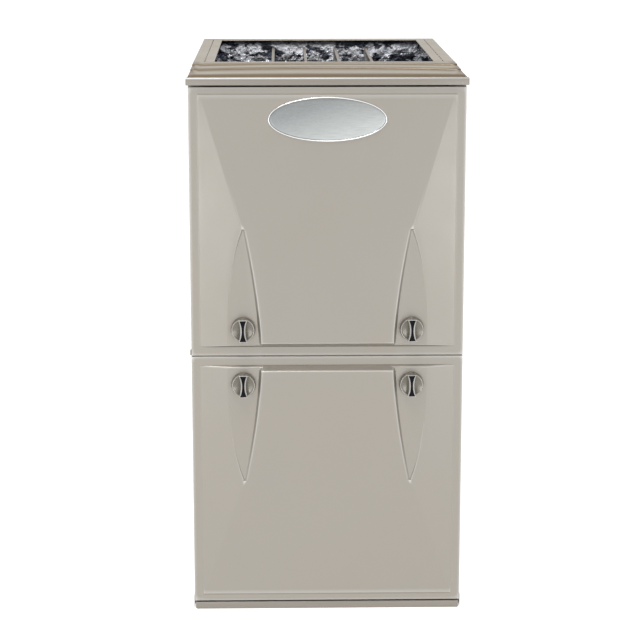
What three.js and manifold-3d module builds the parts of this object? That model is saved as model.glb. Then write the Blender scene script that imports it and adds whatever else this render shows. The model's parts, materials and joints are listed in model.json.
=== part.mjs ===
// Forced air gas furnace: an upflow condensing unit in its sheet-metal cabinet.
// Millimetres. X points right, Y from the front to the back, Z up.
// The origin lies on the floor, at the middle of the bounding box.
// Inside the group "cabinet", Y is the depth behind the flat border of the doors.

import * as THREE from 'three';
import { mergeVertices } from 'three/addons/utils/BufferGeometryUtils.js';
import Module from 'manifold-3d';

const wasm = await Module();
wasm.setup();

// ---------------------------------------------------------------- sizes

// Cabinet
const CASE_WIDTH = 444.5;
const CASE_DEPTH = 749;
const CASE_HEIGHT = 889;
const SHEET = 1.2; // thickness of every sheet-metal panel
const SEAT = 0.3; // clearance between pieces that seat on each other

// Top plate and supply outlet
const STEP_RISE = 1.75; // each of the two steps in the top plate
const STEP_ONE_DEPTH = 127; // at the sides of the plate
const STEP_TWO_DEPTH = 197;
const STEP_ONE_BOW = 36; // how much further back each step lies in the middle
const STEP_TWO_BOW = 24;
const OUTLET_FRONT = 250; // depth of the outlet's front lip
const OUTLET_LIP = 9; // height of the lip turned down there
const SIDE_FLANGE = 35.5; // width of the flange along each side of the outlet
const REAR_FLANGE = 36;
const FOLD_LINE = 19; // from the side of the cabinet to the row of slots
const FOLD_SLOT = 34;
const FOLD_SLOT_PITCH = 40;
const FOLD_SLOT_WIDTH = 1.2;
const BAND_HEIGHT = 11.5;
const BAND_PROUD = 4; // the front band stands in front of the doors
const BAND_SIDE = 2.35; // and beyond the cabinet's sides
const BAND_WRAP = 10; // how far the band's ends reach back
const BAND_HEM = 6; // thickness of the folded band
const BAND_EDGE = 2.2; // rounding of the band's upper edge

// Sill under the lower door
const SILL_HEIGHT = 12;
const SILL_PROUD = 1.5;
const SILL_INSET = 2.75; // its front part, from the cabinet's side
const SILL_EAR = 1.1; // width of the ear beside the lower door
const SILL_EAR_HEIGHT = 10;
const SILL_EAR_FRONT = 4;
const SILL_EAR_BACK = 20;

// Doors
const DOOR_DEPTH = 24;
const DOOR_INSET = 1.45; // door edge, from the cabinet's side
const BORDER = 12.8; // flat border of each door
const SEAM_HEIGHT = 434; // middle of the seam between the doors
const SEAM_GAP = 2;
const SILL_GAP = 2;
const BAND_GAP = 3;
const CROWN_HIGH = 13; // the pressed panel stands out this much at the latch edge
const CROWN_LOW = 1; // and this much at the far edge
const CROWN_RAMP_START = 14.5; // from the latch edge
const CROWN_RAMP_SLOPE = 1.75;
const POCKET_LENGTH = 209; // from the latch edge to the pocket's tip
const POCKET_TIP_X = 137;
const POCKET_WALL_X = 108; // pocket's inner wall at the latch edge, from the middle
const POCKET_OUTER_X = 161;
const WALL_CURVE = 1.6; // exponents of the two pocket outlines
const OUTER_CURVE = 3.2;
const WALL_DRAFT = 3;
const POCKET_RAMP = 5; // about the height at which the ramp meets the pocket's floor
const POCKET_ROWS = [0.2, 0.34, 0.48, 0.6, 0.72, 0.82, 0.9, 0.96, 1]; // sections along the pocket
const PLAIN_ROWS = [0.04, 0.3, 0.65]; // and from its tip to the far edge
const LINER_INSET = 6; // insulation of the upper door, from the door's edge
const UPPER_LINER_THICKNESS = 12;
const LOWER_LINER_DEPTH = 15.5;

// Knobs and latches
const KNOB_X = 136.8;
const KNOB_EDGE = 45; // knob axis, from the door's latch edge
const KNOB_RADIUS = 19.8;
const KNOB_RIM = 3; // thickness of the knob's rim
const KNOB_BODY_RADIUS = 18.6;
const KNOB_PROUD = 24; // face of the grip, in front of the door's border
const KNOB_GRIP_LENGTH = 37;
const KNOB_GRIP_END = 14; // width of the grip at its ends
const KNOB_GRIP_WAIST = 7.6;
const KNOB_SCOOP_DEPTH = 12; // from the grip's face to the bottom of the scoops
const SHAFT_RADIUS = 4.7;
const LATCH_BAR_LENGTH = 26;
const LATCH_BAR_WIDTH = 7;
const LATCH_BAR_THICKNESS = 3;
const LATCH_REACH = 2.7; // from the rail's back to the crossbar
const LATCH_SLOT_MARGIN = 2;

// Badge on the upper door
const BADGE_DROP = 51; // from the door's top edge to the badge's centre
const BADGE_LONG = 94.8; // half axes of the rim
const BADGE_SHORT = 35.6;
const BADGE_RIM_WIDTH = 2;
const BADGE_RIM_THICKNESS = 2.6;
const BADGE_PLATE_THICKNESS = 1.4;
const BADGE_STEPS = 40;

// Rail, deck and cell panel
const RAIL_HALF = 70; // half height of the rail, on either side of the seam
const RAIL_FLANGE = 16;
const SIDE_RETURN = 19; // front return of the cabinet's sides
const DECK_DROP = 0.5; // top face of the blower deck, below the seam
const CELL_PANEL_SETBACK = 2; // behind the outlet's front lip

// Heat exchanger
const CELL_COUNT = 4;
const CELL_PITCH = 58.5;
const CELL_DROP = 12; // top of the cells' seams, below the top of the cabinet
const CELL_SEAM = 31; // height of the seam above the top pass
const CELL_PASSES = 4;
const CELL_PASS_GAP = 16; // between two passes
const CELL_COIL_GAP = 46.2; // from the coil to the lowest pass
const CELL_HALF_WIDTH = 19;
const CELL_WEB = 2.4; // half thickness of the seam between passes
const CELL_REAR_GAP = 46; // from the cells to the insulation at the rear
const CELL_BEND = 58; // length of the bends that join the passes
const CELL_PORT_RADIUS = 15;
const COIL_HEIGHT = 70;
const COIL_FRONT_GAP = 8.8; // from the cell panel to the coil
const COIL_REAR_GAP = 57.5; // from the coil to the back panel
const COIL_INSET = 17; // from the cabinet's side
const COIL_FINS = 27;
const COIL_FIN_THICKNESS = 3.2;
const COIL_END_PLATE = 6;
const LINER_THICKNESS = 12;
const LINER_COIL_GAP = 12.2; // from the coil's top to the insulation's lower edge

// Flue side
const COUPLING_RISE = 86.5; // from the blower deck to the coupling box
const COUPLING_HEIGHT = 102;
const COUPLING_TRAP_GAP = 12.75; // from the condensate trap
const COUPLING_DEPTH = 46;
const COUPLING_WALL = 3;
const INDUCER_X = 30;
const INDUCER_RADIUS = 82;
const INDUCER_DEPTH = 44;
const INDUCER_WALL = 3;
const INDUCER_EYE_RADIUS = 34;
const INDUCER_WHEEL_RADIUS = 66;
const INDUCER_WHEEL_DEPTH = 24;
const INDUCER_BLADES = 12;
const INDUCER_BLADE_LENGTH = 22;
const INDUCER_BLADE_THICKNESS = 1.6;
const INDUCER_BLADE_INSET = 1; // from the wheel's edge
const INDUCER_PLATE = 2; // thickness of the wheel's plate
const INDUCER_HUB_RADIUS = 9;
const INDUCER_HUB_LENGTH = 14;
const INDUCER_SHAFT_RADIUS = 4;
const INDUCER_SHAFT_END = 12; // how far the shaft reaches into the wheel, and into the fan
const INDUCER_MOTOR_RADIUS = 42;
const INDUCER_MOTOR_LENGTH = 60;
const INDUCER_FLANGE_MARGIN = 12; // of the motor's flange, beyond the motor
const INDUCER_FLANGE = 3;
const INDUCER_FAN_GAP = 6; // from the motor to the cooling fan
const INDUCER_FAN_RADIUS = 36;
const INDUCER_FAN_BLADES = 6;
const INDUCER_FAN_HUB_RADIUS = 10;
const INDUCER_FAN_HUB_LENGTH = 10;
const INDUCER_FAN_ROOT = 8; // radius at which its blades start
const INDUCER_FAN_CHORD = 17;
const INDUCER_FAN_PITCH = 23; // degrees
const INDUCER_NECK = 100; // from the inducer's axis to the end of its outlet
const FLUE_RADIUS = 25;
const VENT_WALL = 3;

// Gas side
const BURNER_RADIUS = 16;
const BURNER_THROAT_RADIUS = 10;
const BURNER_LENGTH = 96;
const BURNER_WALL = 1.6;
const BURNER_MOUTH_RADIUS = 14;
const BURNER_MOUTH_LENGTH = 14; // from the mouth to the throat
const BURNER_FLARE = 48; // from the mouth to the full width
const BURNER_STRIP_SETBACK = 14; // strip across the burners, in front of their ends
const BURNER_STRIP_WIDTH = 8;
const BURNER_STRIP_THICKNESS = 3;
const BURNER_SLEEVE = 5; // how far the burner box's ports reach in front of its back
const BURNER_BOX_WIDTH = 284;
const BURNER_BOX_HEIGHT = 80;
const BURNER_BOX_DEPTH = 56;
const MANIFOLD_RADIUS = 10;
const MANIFOLD_DEPTH = 126; // of the pipe's axis
const ORIFICE_RADIUS = 4;
const MANIFOLD_ARM_INSET = 6; // of the arms to the burner box, from its sides
const MANIFOLD_ARM_THICKNESS = 2;
const MANIFOLD_ARM_HEIGHT = 16;
const GAS_VALVE_GAP = 10; // from the burner box to the valve
const GAS_VALVE_WIDTH = 46;
const GAS_VALVE_DEPTH = 60;
const GAS_VALVE_HEIGHT = 74;
const GAS_CAP_HEIGHT = 16;
const GAS_CAP_INSET = 6;
const GAS_TOWER_RADIUS = 11;
const GAS_TOWER_RISE = 12; // above the valve's top
const GAS_TOWER_BASE = 8; // above the valve's bottom
const GAS_TOWER_SETBACK = 16; // from the valve's back to the tower's axis
const GAS_BOSS_MARGIN = 2; // of the boss, beyond the valve's knob
const GAS_BOSS = 4; // how far it stands out
const GAS_KNOB_RADIUS = 13;
const GAS_KNOB_THICKNESS = 12;
const GAS_KNOB_PIN_RADIUS = 3;
const GAS_KNOB_PIN_LENGTH = 8;
const GAS_KNOB_DROP = 8; // of the knob, below the middle of the valve
const GAS_GRIP_WIDTH = 5;
const GAS_GRIP_INSET = 1;
const GAS_PIPE_RADIUS = 9;
const GAS_PIPE_DROP = 62; // from the valve to the pipe's way out
const GAS_PIPE_BEND = 22;
const PROBE_SETBACK = 24; // igniter and flame sensor, in front of the cell panel
const IGNITER_LENGTH = 40;
const IGNITER_WIDTH = 16;
const IGNITER_THICKNESS = 12;
const IGNITER_PLATE = 28;
const IGNITER_PLATE_DEPTH = 18;
const SENSOR_LENGTH = 46;
const SENSOR_RADIUS = 4;
const SENSOR_PLATE = 24;
const SENSOR_PLATE_DEPTH = 14;
const ROLLOUT_RADIUS = 9;
const ROLLOUT_HEIGHT = 9;
const ROLLOUT_MARGIN = 15; // of the strip, beyond the switches' middle
const ROLLOUT_STRIP = 12;
const LIMIT_RADIUS = 14;
const LIMIT_THICKNESS = 12;
const LIMIT_TERMINALS = 8; // how far its terminals stand out
const LIMIT_SIDE = 46; // from the cabinet's side to its middle
const LIMIT_TERMINAL_HALF = 5.6;
const PRESSURE_RADIUS = 38;
const PRESSURE_RIM = 14;
const PRESSURE_DOME = 12;
const PRESSURE_DOME_RADIUS = 22.8;
const PRESSURE_FOOT = 10;
const PRESSURE_FOOT_WIDTH = 36;
const PRESSURE_GAP = 6; // from the cabinet's side, and from the deck

// Drain
const TRAP_WIDTH = 46;
const TRAP_DEPTH = 56;
const TRAP_RISE = 36.5; // from the blower deck
const TRAP_HEIGHT = 146;
const TRAP_SIDE_GAP = 12;
const TRAP_SUMP = 14; // height of the narrower sump under it
const TRAP_SUMP_INSET = 6;
const TRAP_PORT_RADIUS = 7;
const TRAP_PORT_DROP = 24;
const TRAP_PORT_LENGTH = 12;
const HOSE_RADIUS = 8;
const HOSE_RISE = 3; // of the hose's way out, above the blower deck

// Blower
const BLOWER_DEPTH = 420; // of the wheel's axis
const BLOWER_HEIGHT = 225;
const BLOWER_WIDTH = 236;
const SCROLL_START = 135; // radius of the scroll at its cutoff
const SCROLL_END = 185; // and where it meets the straight outlet
const SCROLL_CUTOFF = 75; // angle of the cutoff above the horizontal, degrees
const SCROLL_STEPS = 20;
const SCROLL_SHEET = 1.5;
const INLET_RADIUS = 104;
const WHEEL_RADIUS = 127;
const WHEEL_WIDTH = 200;
const WHEEL_BLADES = 18;
const WHEEL_BAND = 14; // width of the wheel's end rings
const WHEEL_MIDDLE = 8; // and of the ring between its two rows of blades
const BLADE_DEPTH = 18;
const BLADE_GAP = 31;
const HUB_RADIUS = 16;
const HUB_LENGTH = 24;
const BLOWER_SHAFT_RADIUS = 6.4;
const MOTOR_RADIUS = 68;
const MOTOR_LENGTH = 128;
const MOTOR_START = 22; // from the wheel's middle to the motor
const MOTOR_NOSE = 6; // length of the narrower end at the wheel
const MOTOR_NOSE_RADIUS = 54;
const MOTOR_TAIL = 14; // and of the one at the other side
const MOTOR_TAIL_RADIUS = 58;
const MOTOR_BORE_MARGIN = 4; // behind the end of the wheel's shaft
const MOUNT_BAND = 24;
const MOUNT_BAND_THICKNESS = 2;
const MOUNT_ARMS = 4;
const MOUNT_ARM_WIDTH = 14;
const MOUNT_ARM_OVERLAP = 14; // of the arms, on the housing around its inlet

// Electrics
const CONTROL_DEPTH = 122; // of the control tray
const CONTROL_HEIGHT = 146;
const CONTROL_LEFT = -196;
const CONTROL_RIGHT = 120;
const CONTROL_RIM = 14;
const BOARD_WIDTH = 176;
const BOARD_HEIGHT = 118;
const BOARD_STANDOFF = 9;
const BOARD_THICKNESS = 1.8;
const BOARD_MARGIN = 8; // to the tray's left side, and a little more to its bottom
const BOARD_POST_RADIUS = 3;
const BOARD_POST_INSET = 6;
const RELAY_COUNT = 3;
const RELAY_WIDTH = 18;
const RELAY_HEIGHT = 22;
const RELAY_DEPTH = 16;
const RELAY_GAP = 6;
const RELAY_INSET = 12; // of the first relay, from the board's left edge
const PLUG_HEIGHT = 11;
const PLUG_DEPTH = 11;
const LOW_PLUG_LENGTH = 70;
const HIGH_PLUG_LENGTH = 60;
const CHIP_SIDE = 24;
const CHIP_DEPTH = 5;
const FILTER_WIDTH = 30;
const FILTER_HEIGHT = 40;
const FILTER_DEPTH = 12;
const TRANSFORMER_WIDTH = 62;
const TRANSFORMER_HEIGHT = 54;
const TRANSFORMER_DEPTH = 46;
const TRANSFORMER_SIDE = 18; // from the tray's right side
const TRANSFORMER_RISE = 36; // from the tray's bottom
const TRANSFORMER_STEP = 10; // from the faces of its winding to those of its core
const WINDING_INSET = 14; // of the winding, from the core's sides
const WINDING_DROP = 12; // and from its top and bottom
const FOOT_REACH = 8; // of the foot, beyond the core
const FOOT_THICKNESS = 2;
const FOOT_DROP = 10;
const SWITCH_X = -52;
const SWITCH_DROP = 50; // below the seam
const SWITCH_BODY = 22;
const SWITCH_DEPTH = 32;
const SWITCH_FLOOR = 6; // behind the button's bore
const BUTTON_WIDTH = 6;
const BUTTON_LENGTH = 26;
const HARNESS_RADIUS = 5.5;
const HARNESS_X = 168;
const HARNESS_DEPTH = 96;
const GROMMET_MARGIN = 0.6;

// ---------------------------------------------------------------- places worked out from the sizes

const HALF_WIDTH = CASE_WIDTH / 2;
const INNER_HALF = HALF_WIDTH - SHEET - SEAT;
const FRONT = -(CASE_DEPTH - KNOB_PROUD) / 2;
const PLATE_TOP = CASE_HEIGHT - 2 * STEP_RISE;
const BAND_BOTTOM = PLATE_TOP - BAND_HEIGHT;
const CASE_FRONT = DOOR_DEPTH + SEAT; // front plane of the cabinet behind the doors
const CASE_REAR = CASE_DEPTH - SHEET - SEAT; // what lies inside ends in front of the back panel
const DOOR_HALF = HALF_WIDTH - DOOR_INSET;
const UPPER_DOOR_BOTTOM = SEAM_HEIGHT + SEAM_GAP / 2;
const UPPER_DOOR_HEIGHT = BAND_BOTTOM - BAND_GAP - UPPER_DOOR_BOTTOM;
const LOWER_DOOR_TOP = SEAM_HEIGHT - SEAM_GAP / 2;
const LOWER_DOOR_HEIGHT = LOWER_DOOR_TOP - SILL_HEIGHT - SILL_GAP;
const UPPER_KNOB_HEIGHT = UPPER_DOOR_BOTTOM + KNOB_EDGE;
const LOWER_KNOB_HEIGHT = LOWER_DOOR_TOP - KNOB_EDGE;
const BADGE_HEIGHT = UPPER_DOOR_BOTTOM + UPPER_DOOR_HEIGHT - BADGE_DROP;
const RAIL_BACK = CASE_FRONT + SHEET;
const RAIL_BOTTOM = SEAM_HEIGHT - RAIL_HALF;
const RAIL_TOP = SEAM_HEIGHT + RAIL_HALF;
const DECK_HEIGHT = SEAM_HEIGHT - DECK_DROP;
const UNDER_DECK = DECK_HEIGHT - SHEET - SEAT;
const CELL_PANEL_DEPTH = OUTLET_FRONT + CELL_PANEL_SETBACK;
const CELL_FRONT = CELL_PANEL_DEPTH + SHEET + SEAT;
const CELL_LENGTH = CASE_REAR - LINER_THICKNESS - CELL_REAR_GAP - CELL_FRONT;
const COIL_BOTTOM = DECK_HEIGHT + SEAT;
const COIL_TOP = COIL_BOTTOM + COIL_HEIGHT;
const CELL_TOP = CASE_HEIGHT - CELL_DROP;
const CELL_BOTTOM = COIL_TOP + CELL_COIL_GAP;
const CELL_PASS_PITCH = (CELL_TOP - CELL_SEAM - CELL_BOTTOM + CELL_PASS_GAP) / CELL_PASSES;
const CELL_PASS_HEIGHT = CELL_PASS_PITCH - CELL_PASS_GAP;
const CELL_FIRST_PASS = CELL_TOP - CELL_SEAM - CELL_PASS_HEIGHT / 2;
const CELL_LAST_PASS = CELL_FIRST_PASS - (CELL_PASSES - 1) * CELL_PASS_PITCH;
const BURNER_HEIGHT = CELL_FIRST_PASS;
const VESTIBULE_BACK = CELL_PANEL_DEPTH - SEAT; // what is fixed to the cell panel ends here
const CELL_XS = Array.from({ length: CELL_COUNT }, (_, i) => (i - (CELL_COUNT - 1) / 2) * CELL_PITCH);

// ---------------------------------------------------------------- shapes

// A closed three.js geometry as a solid for joining and cutting.
function solid(geometry) {
  const bare = geometry.clone();
  bare.deleteAttribute('normal');
  bare.deleteAttribute('uv');
  const merged = mergeVertices(bare, 1e-4);
  const vertProperties = new Float32Array(merged.attributes.position.array);
  const triVerts = new Uint32Array(merged.index.array);
  return new wasm.Manifold(new wasm.Mesh({ numProp: 3, vertProperties, triVerts }));
}

// The solid's surface as a three.js geometry.
function surface(body) {
  const mesh = body.getMesh();
  const geometry = new THREE.BufferGeometry();
  geometry.setAttribute('position', new THREE.BufferAttribute(mesh.vertProperties, 3));
  geometry.setIndex(new THREE.BufferAttribute(mesh.triVerts, 1));
  geometry.computeVertexNormals();
  return geometry;
}

function join(...bodies) {
  return bodies.reduce((all, body) => all.add(body));
}

function cut(body, ...tools) {
  return tools.reduce((rest, tool) => rest.subtract(tool), body);
}

// Puts every vertex exactly on one of two planes across an axis (0, 1 or 2), so that
// pieces that are joined share the same plane.
function level(geometry, axis, low, high) {
  const position = geometry.attributes.position;
  const middle = (low + high) / 2;
  for (let i = 0; i < position.count; i += 1) {
    position.setComponent(i, axis, position.getComponent(i, axis) < middle ? low : high);
  }
  return geometry;
}

// A box between two values on each axis.
function box(x0, x1, y0, y1, z0, z1) {
  const geometry = new THREE.BoxGeometry(x1 - x0, y1 - y0, z1 - z0);
  geometry.translate((x0 + x1) / 2, (y0 + y1) / 2, (z0 + z1) / 2);
  level(geometry, 0, x0, x1);
  level(geometry, 1, y0, y1);
  level(geometry, 2, z0, z1);
  return solid(geometry);
}

// A round bar along X, Y or Z. The centre is given on the two other axes.
function rod(axis, radius, from, to, a, b, sides = 24) {
  const geometry = new THREE.CylinderGeometry(radius, radius, to - from, sides);
  const middle = (from + to) / 2;
  if (axis === 'x') {
    geometry.rotateZ(Math.PI / 2);
    geometry.translate(middle, a, b);
  } else if (axis === 'y') {
    geometry.translate(a, middle, b);
  } else {
    geometry.rotateX(Math.PI / 2);
    geometry.translate(a, b, middle);
  }
  level(geometry, 'xyz'.indexOf(axis), from, to);
  return solid(geometry);
}

// An outline of [x, z] points, extruded along Y.
function prismY(outline, y0, y1) {
  const shape = new THREE.Shape(outline.map(([x, z]) => new THREE.Vector2(x, z)));
  const geometry = new THREE.ExtrudeGeometry(shape, { depth: y1 - y0, bevelEnabled: false });
  geometry.rotateX(Math.PI / 2);
  geometry.translate(0, y1, 0);
  return solid(level(geometry, 1, y0, y1));
}

// An outline of [y, z] points, extruded along X.
function prismX(outline, x0, x1) {
  const shape = new THREE.Shape(outline.map(([y, z]) => new THREE.Vector2(y, z)));
  const geometry = new THREE.ExtrudeGeometry(shape, { depth: x1 - x0, bevelEnabled: false });
  geometry.rotateY(Math.PI / 2);
  geometry.rotateX(Math.PI / 2);
  geometry.translate(x0, 0, 0);
  return solid(level(geometry, 0, x0, x1));
}

// An outline of [x, y] points, extruded along Z.
function prismZ(outline, z0, z1) {
  const shape = new THREE.Shape(outline.map(([x, y]) => new THREE.Vector2(x, y)));
  const geometry = new THREE.ExtrudeGeometry(shape, { depth: z1 - z0, bevelEnabled: false });
  geometry.translate(0, 0, z0);
  return solid(level(geometry, 2, z0, z1));
}

// A box centred on X and Y, between two heights.
function post(x, y, width, depth, z0, z1) {
  return box(x - width / 2, x + width / 2, y - depth / 2, y + depth / 2, z0, z1);
}

// A round tube along a smooth route through the points.
function tube(points, radius, steps, sides) {
  const path = new THREE.CatmullRomCurve3(points.map((p) => new THREE.Vector3(...p)), false, 'centripetal');
  const shape = new THREE.Shape(ellipse(radius, radius, sides).map(([x, y]) => new THREE.Vector2(x, y)));
  return solid(new THREE.ExtrudeGeometry(shape, { steps, extrudePath: path, bevelEnabled: false }));
}

// A profile of [radius, y] points turned about the Y axis.
function turned(profile, sides = 24) {
  const points = profile.map(([r, y]) => new THREE.Vector2(r, y));
  return solid(new THREE.LatheGeometry(points, sides));
}

function ellipse(long, short, steps) {
  const angles = Array.from({ length: steps }, (_, i) => (2 * Math.PI * i) / steps);
  return angles.map((a) => [long * Math.cos(a), short * Math.sin(a)]);
}

// ---------------------------------------------------------------- finishes

const finishes = {
  paint: { color: 0xb3ada3, roughness: 0.45, metalness: 0.35 },
  galvanised: { color: 0xa9adad, roughness: 0.4, metalness: 0.8 },
  foil: { color: 0xd6dbe0, roughness: 0.18, metalness: 1 },
  aluminised: { color: 0x9b9a95, roughness: 0.5, metalness: 0.8 },
  aluminium: { color: 0xc4c7c8, roughness: 0.32, metalness: 0.95 },
  bright: { color: 0xe6e8ea, roughness: 0.12, metalness: 1 },
  nickel: { color: 0x8d8880, roughness: 0.35, metalness: 0.8 },
  steel: { color: 0x8a8c8e, roughness: 0.4, metalness: 0.9 },
  blackPlastic: { color: 0x1d1e20, roughness: 0.55, metalness: 0 },
  greyPlastic: { color: 0x777a7c, roughness: 0.55, metalness: 0 },
  ceramic: { color: 0xe6dfd0, roughness: 0.7, metalness: 0 },
  blackPaint: { color: 0x232426, roughness: 0.45, metalness: 0.4 },
  castGrey: { color: 0x74777a, roughness: 0.6, metalness: 0.5 },
  board: { color: 0x1f6b45, roughness: 0.5, metalness: 0 },
  insulation: { color: 0xcfd2d2, roughness: 0.35, metalness: 0.6 },
  rubber: { color: 0x202022, roughness: 0.8, metalness: 0 },
  zinc: { color: 0xb9b6a6, roughness: 0.35, metalness: 0.9 },
};

const cabinet = new THREE.Group();
cabinet.position.y = FRONT;

// Adds one named piece of the furnace, in its own finish.
function piece(name, body, finish, place = [0, 0, 0], parent = cabinet) {
  const material = new THREE.MeshStandardMaterial({ ...finishes[finish], flatShading: true });
  const mesh = new THREE.Mesh(surface(body), material);
  mesh.name = name;
  mesh.position.set(...place);
  parent.add(mesh);
  return mesh;
}

// ---------------------------------------------------------------- cabinet

// One side of the cabinet: wall, front return behind the doors and flange beside the outlet.
function sidePanel(sign) {
  const span = (a, b) => (sign < 0 ? [-b, -a] : [a, b]);
  const wallX = span(HALF_WIDTH - SHEET, HALF_WIDTH);
  const underPlate = PLATE_TOP - SHEET - SEAT;
  const flangeTop = CASE_HEIGHT;
  const flangeX = span(HALF_WIDTH - SIDE_FLANGE, HALF_WIDTH);
  const flangeFront = OUTLET_FRONT + SEAT;
  const wall = box(...wallX, CASE_FRONT, CASE_DEPTH, 0, underPlate);
  const rise = box(...wallX, flangeFront, CASE_DEPTH, underPlate - SHEET, flangeTop);
  const returnX = span(HALF_WIDTH - SIDE_RETURN, HALF_WIDTH);
  const frontReturn = box(...returnX, CASE_FRONT, RAIL_BACK, 0, underPlate);
  const flange = box(...flangeX, flangeFront, CASE_DEPTH, flangeTop - SHEET, flangeTop);
  const slots = [];
  const slotX = sign * (HALF_WIDTH - FOLD_LINE);
  for (let y = flangeFront + FOLD_SLOT_WIDTH; y + FOLD_SLOT < CASE_DEPTH; y += FOLD_SLOT_PITCH) {
    const [x0, x1] = [slotX - FOLD_SLOT_WIDTH / 2, slotX + FOLD_SLOT_WIDTH / 2];
    slots.push(box(x0, x1, y, y + FOLD_SLOT, flangeTop - 2 * SHEET, flangeTop + SHEET));
  }
  return cut(join(wall, rise, frontReturn, flange), ...slots);
}

function backPanel() {
  const front = CASE_DEPTH - SHEET;
  const sheet = box(-INNER_HALF, INNER_HALF, front, CASE_DEPTH, 0, CASE_HEIGHT - SHEET - SEAT);
  const between = HALF_WIDTH - SIDE_FLANGE - SEAT;
  const neck = box(-between, between, front, CASE_DEPTH, CASE_HEIGHT - 3 * SHEET, CASE_HEIGHT);
  const flangeFront = CASE_DEPTH - REAR_FLANGE;
  const flange = box(-between, between, flangeFront, CASE_DEPTH, CASE_HEIGHT - SHEET, CASE_HEIGHT);
  return join(sheet, neck, flange);
}

// The region of the top behind a bowed step line, as [x, y] points.
function behindStep(depth, bow, inset) {
  const steps = 16;
  const line = Array.from({ length: steps + 1 }, (_, i) => {
    const t = (2 * i) / steps - 1;
    return [t * HALF_WIDTH, depth + inset + bow * (1 - t * t)];
  });
  return [...line, [HALF_WIDTH, OUTLET_FRONT], [-HALF_WIDTH, OUTLET_FRONT]];
}

// Front half of the top: two bowed steps up to the outlet, and the band over the upper door.
function topPlate() {
  const low = PLATE_TOP - SHEET;
  const middle = PLATE_TOP + STEP_RISE;
  const skin = join(
    box(-HALF_WIDTH, HALF_WIDTH, BAND_WRAP, OUTLET_FRONT, low, PLATE_TOP),
    prismZ(behindStep(STEP_ONE_DEPTH, STEP_ONE_BOW, 0), low, middle),
    prismZ(behindStep(STEP_TWO_DEPTH, STEP_TWO_BOW, 0), low, CASE_HEIGHT),
  );
  const hollow = join(
    prismZ(behindStep(STEP_ONE_DEPTH, STEP_ONE_BOW, SHEET), low - SHEET, middle - SHEET),
    prismZ(behindStep(STEP_TWO_DEPTH, STEP_TWO_BOW, SHEET), low - SHEET, CASE_HEIGHT - SHEET),
  );
  const lipHalf = HALF_WIDTH - SHEET - SEAT;
  const lipBottom = CASE_HEIGHT - OUTLET_LIP;
  const lip = box(-lipHalf, lipHalf, OUTLET_FRONT - SHEET, OUTLET_FRONT, lipBottom, CASE_HEIGHT);
  const front = -BAND_PROUD;
  const edge = BAND_EDGE;
  const bend = Math.SQRT1_2 * edge;
  const profile = [
    [front, BAND_BOTTOM],
    [front + BAND_HEM, BAND_BOTTOM],
    [front + BAND_HEM, low],
    [BAND_WRAP, low],
    [BAND_WRAP, PLATE_TOP],
    [front + edge, PLATE_TOP],
    [front + edge - bend, PLATE_TOP - edge + bend],
    [front, PLATE_TOP - edge],
  ];
  const band = prismX(profile, -HALF_WIDTH - BAND_SIDE, HALF_WIDTH + BAND_SIDE);
  return join(cut(skin, hollow), lip, band);
}

// Sill under the lower door, with an ear at each end that guides the door's corner.
function baseStrip() {
  const half = HALF_WIDTH - SILL_INSET;
  const bar = box(-half, half, -SILL_PROUD, DOOR_DEPTH, 0, SILL_HEIGHT);
  const top = SILL_HEIGHT + SILL_EAR_HEIGHT;
  const inner = DOOR_HALF + SEAT;
  const outer = inner + SILL_EAR;
  const outline = [
    [half, 0],
    [outer, 0],
    [outer, top],
    [inner, top],
    [inner, SILL_HEIGHT],
    [half, SILL_HEIGHT],
  ];
  const mirrored = outline.map(([x, z]) => [-x, z]).reverse();
  const ears = [outline, mirrored].map((points) => prismY(points, SILL_EAR_FRONT, SILL_EAR_BACK));
  const room = half - SHEET;
  const hollow = box(-room, room, -SILL_PROUD + SHEET, DOOR_DEPTH + 1, -1, SILL_HEIGHT - SHEET);
  return join(cut(bar, hollow), ...ears);
}

function bottomClosurePanel() {
  return box(-INNER_HALF, INNER_HALF, RAIL_BACK + SEAT, CASE_REAR, 0, SHEET);
}

const SWITCH_HEIGHT = SEAM_HEIGHT - SWITCH_DROP;
const BUTTON_HOLE = BUTTON_WIDTH / 2 + SEAT;

// A square bar on the axis of the door switch's button.
function onButton(half, y0, y1) {
  return box(SWITCH_X - half, SWITCH_X + half, y0, y1, SWITCH_HEIGHT - half, SWITCH_HEIGHT + half);
}

// Channel across the cabinet behind the seam of the doors. The latches pass through its slots.
function centerRail() {
  const half = HALF_WIDTH - SIDE_RETURN - SEAT;
  const back = RAIL_BACK + RAIL_FLANGE;
  const channel = [
    [CASE_FRONT, RAIL_BOTTOM],
    [back, RAIL_BOTTOM],
    [back, RAIL_BOTTOM + SHEET],
    [RAIL_BACK, RAIL_BOTTOM + SHEET],
    [RAIL_BACK, RAIL_TOP - SHEET],
    [back, RAIL_TOP - SHEET],
    [back, RAIL_TOP],
    [CASE_FRONT, RAIL_TOP],
  ];
  const slotHalf = SHAFT_RADIUS + LATCH_SLOT_MARGIN / 2;
  const slotRise = LATCH_BAR_LENGTH / 2 + LATCH_SLOT_MARGIN;
  const slots = [];
  for (const x of [-KNOB_X, KNOB_X]) {
    for (const z of [UPPER_KNOB_HEIGHT, LOWER_KNOB_HEIGHT]) {
      slots.push(box(x - slotHalf, x + slotHalf, 0, back, z - slotRise, z + slotRise));
    }
  }
  return cut(prismX(channel, -half, half), ...slots, onButton(BUTTON_HOLE, 0, back));
}

// The straight outlet of the blower: depths of its front and rear walls.
function outletDepths() {
  const cutoff = THREE.MathUtils.degToRad(SCROLL_CUTOFF);
  return [BLOWER_DEPTH + SCROLL_START * Math.cos(cutoff), BLOWER_DEPTH + SCROLL_END];
}

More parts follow.
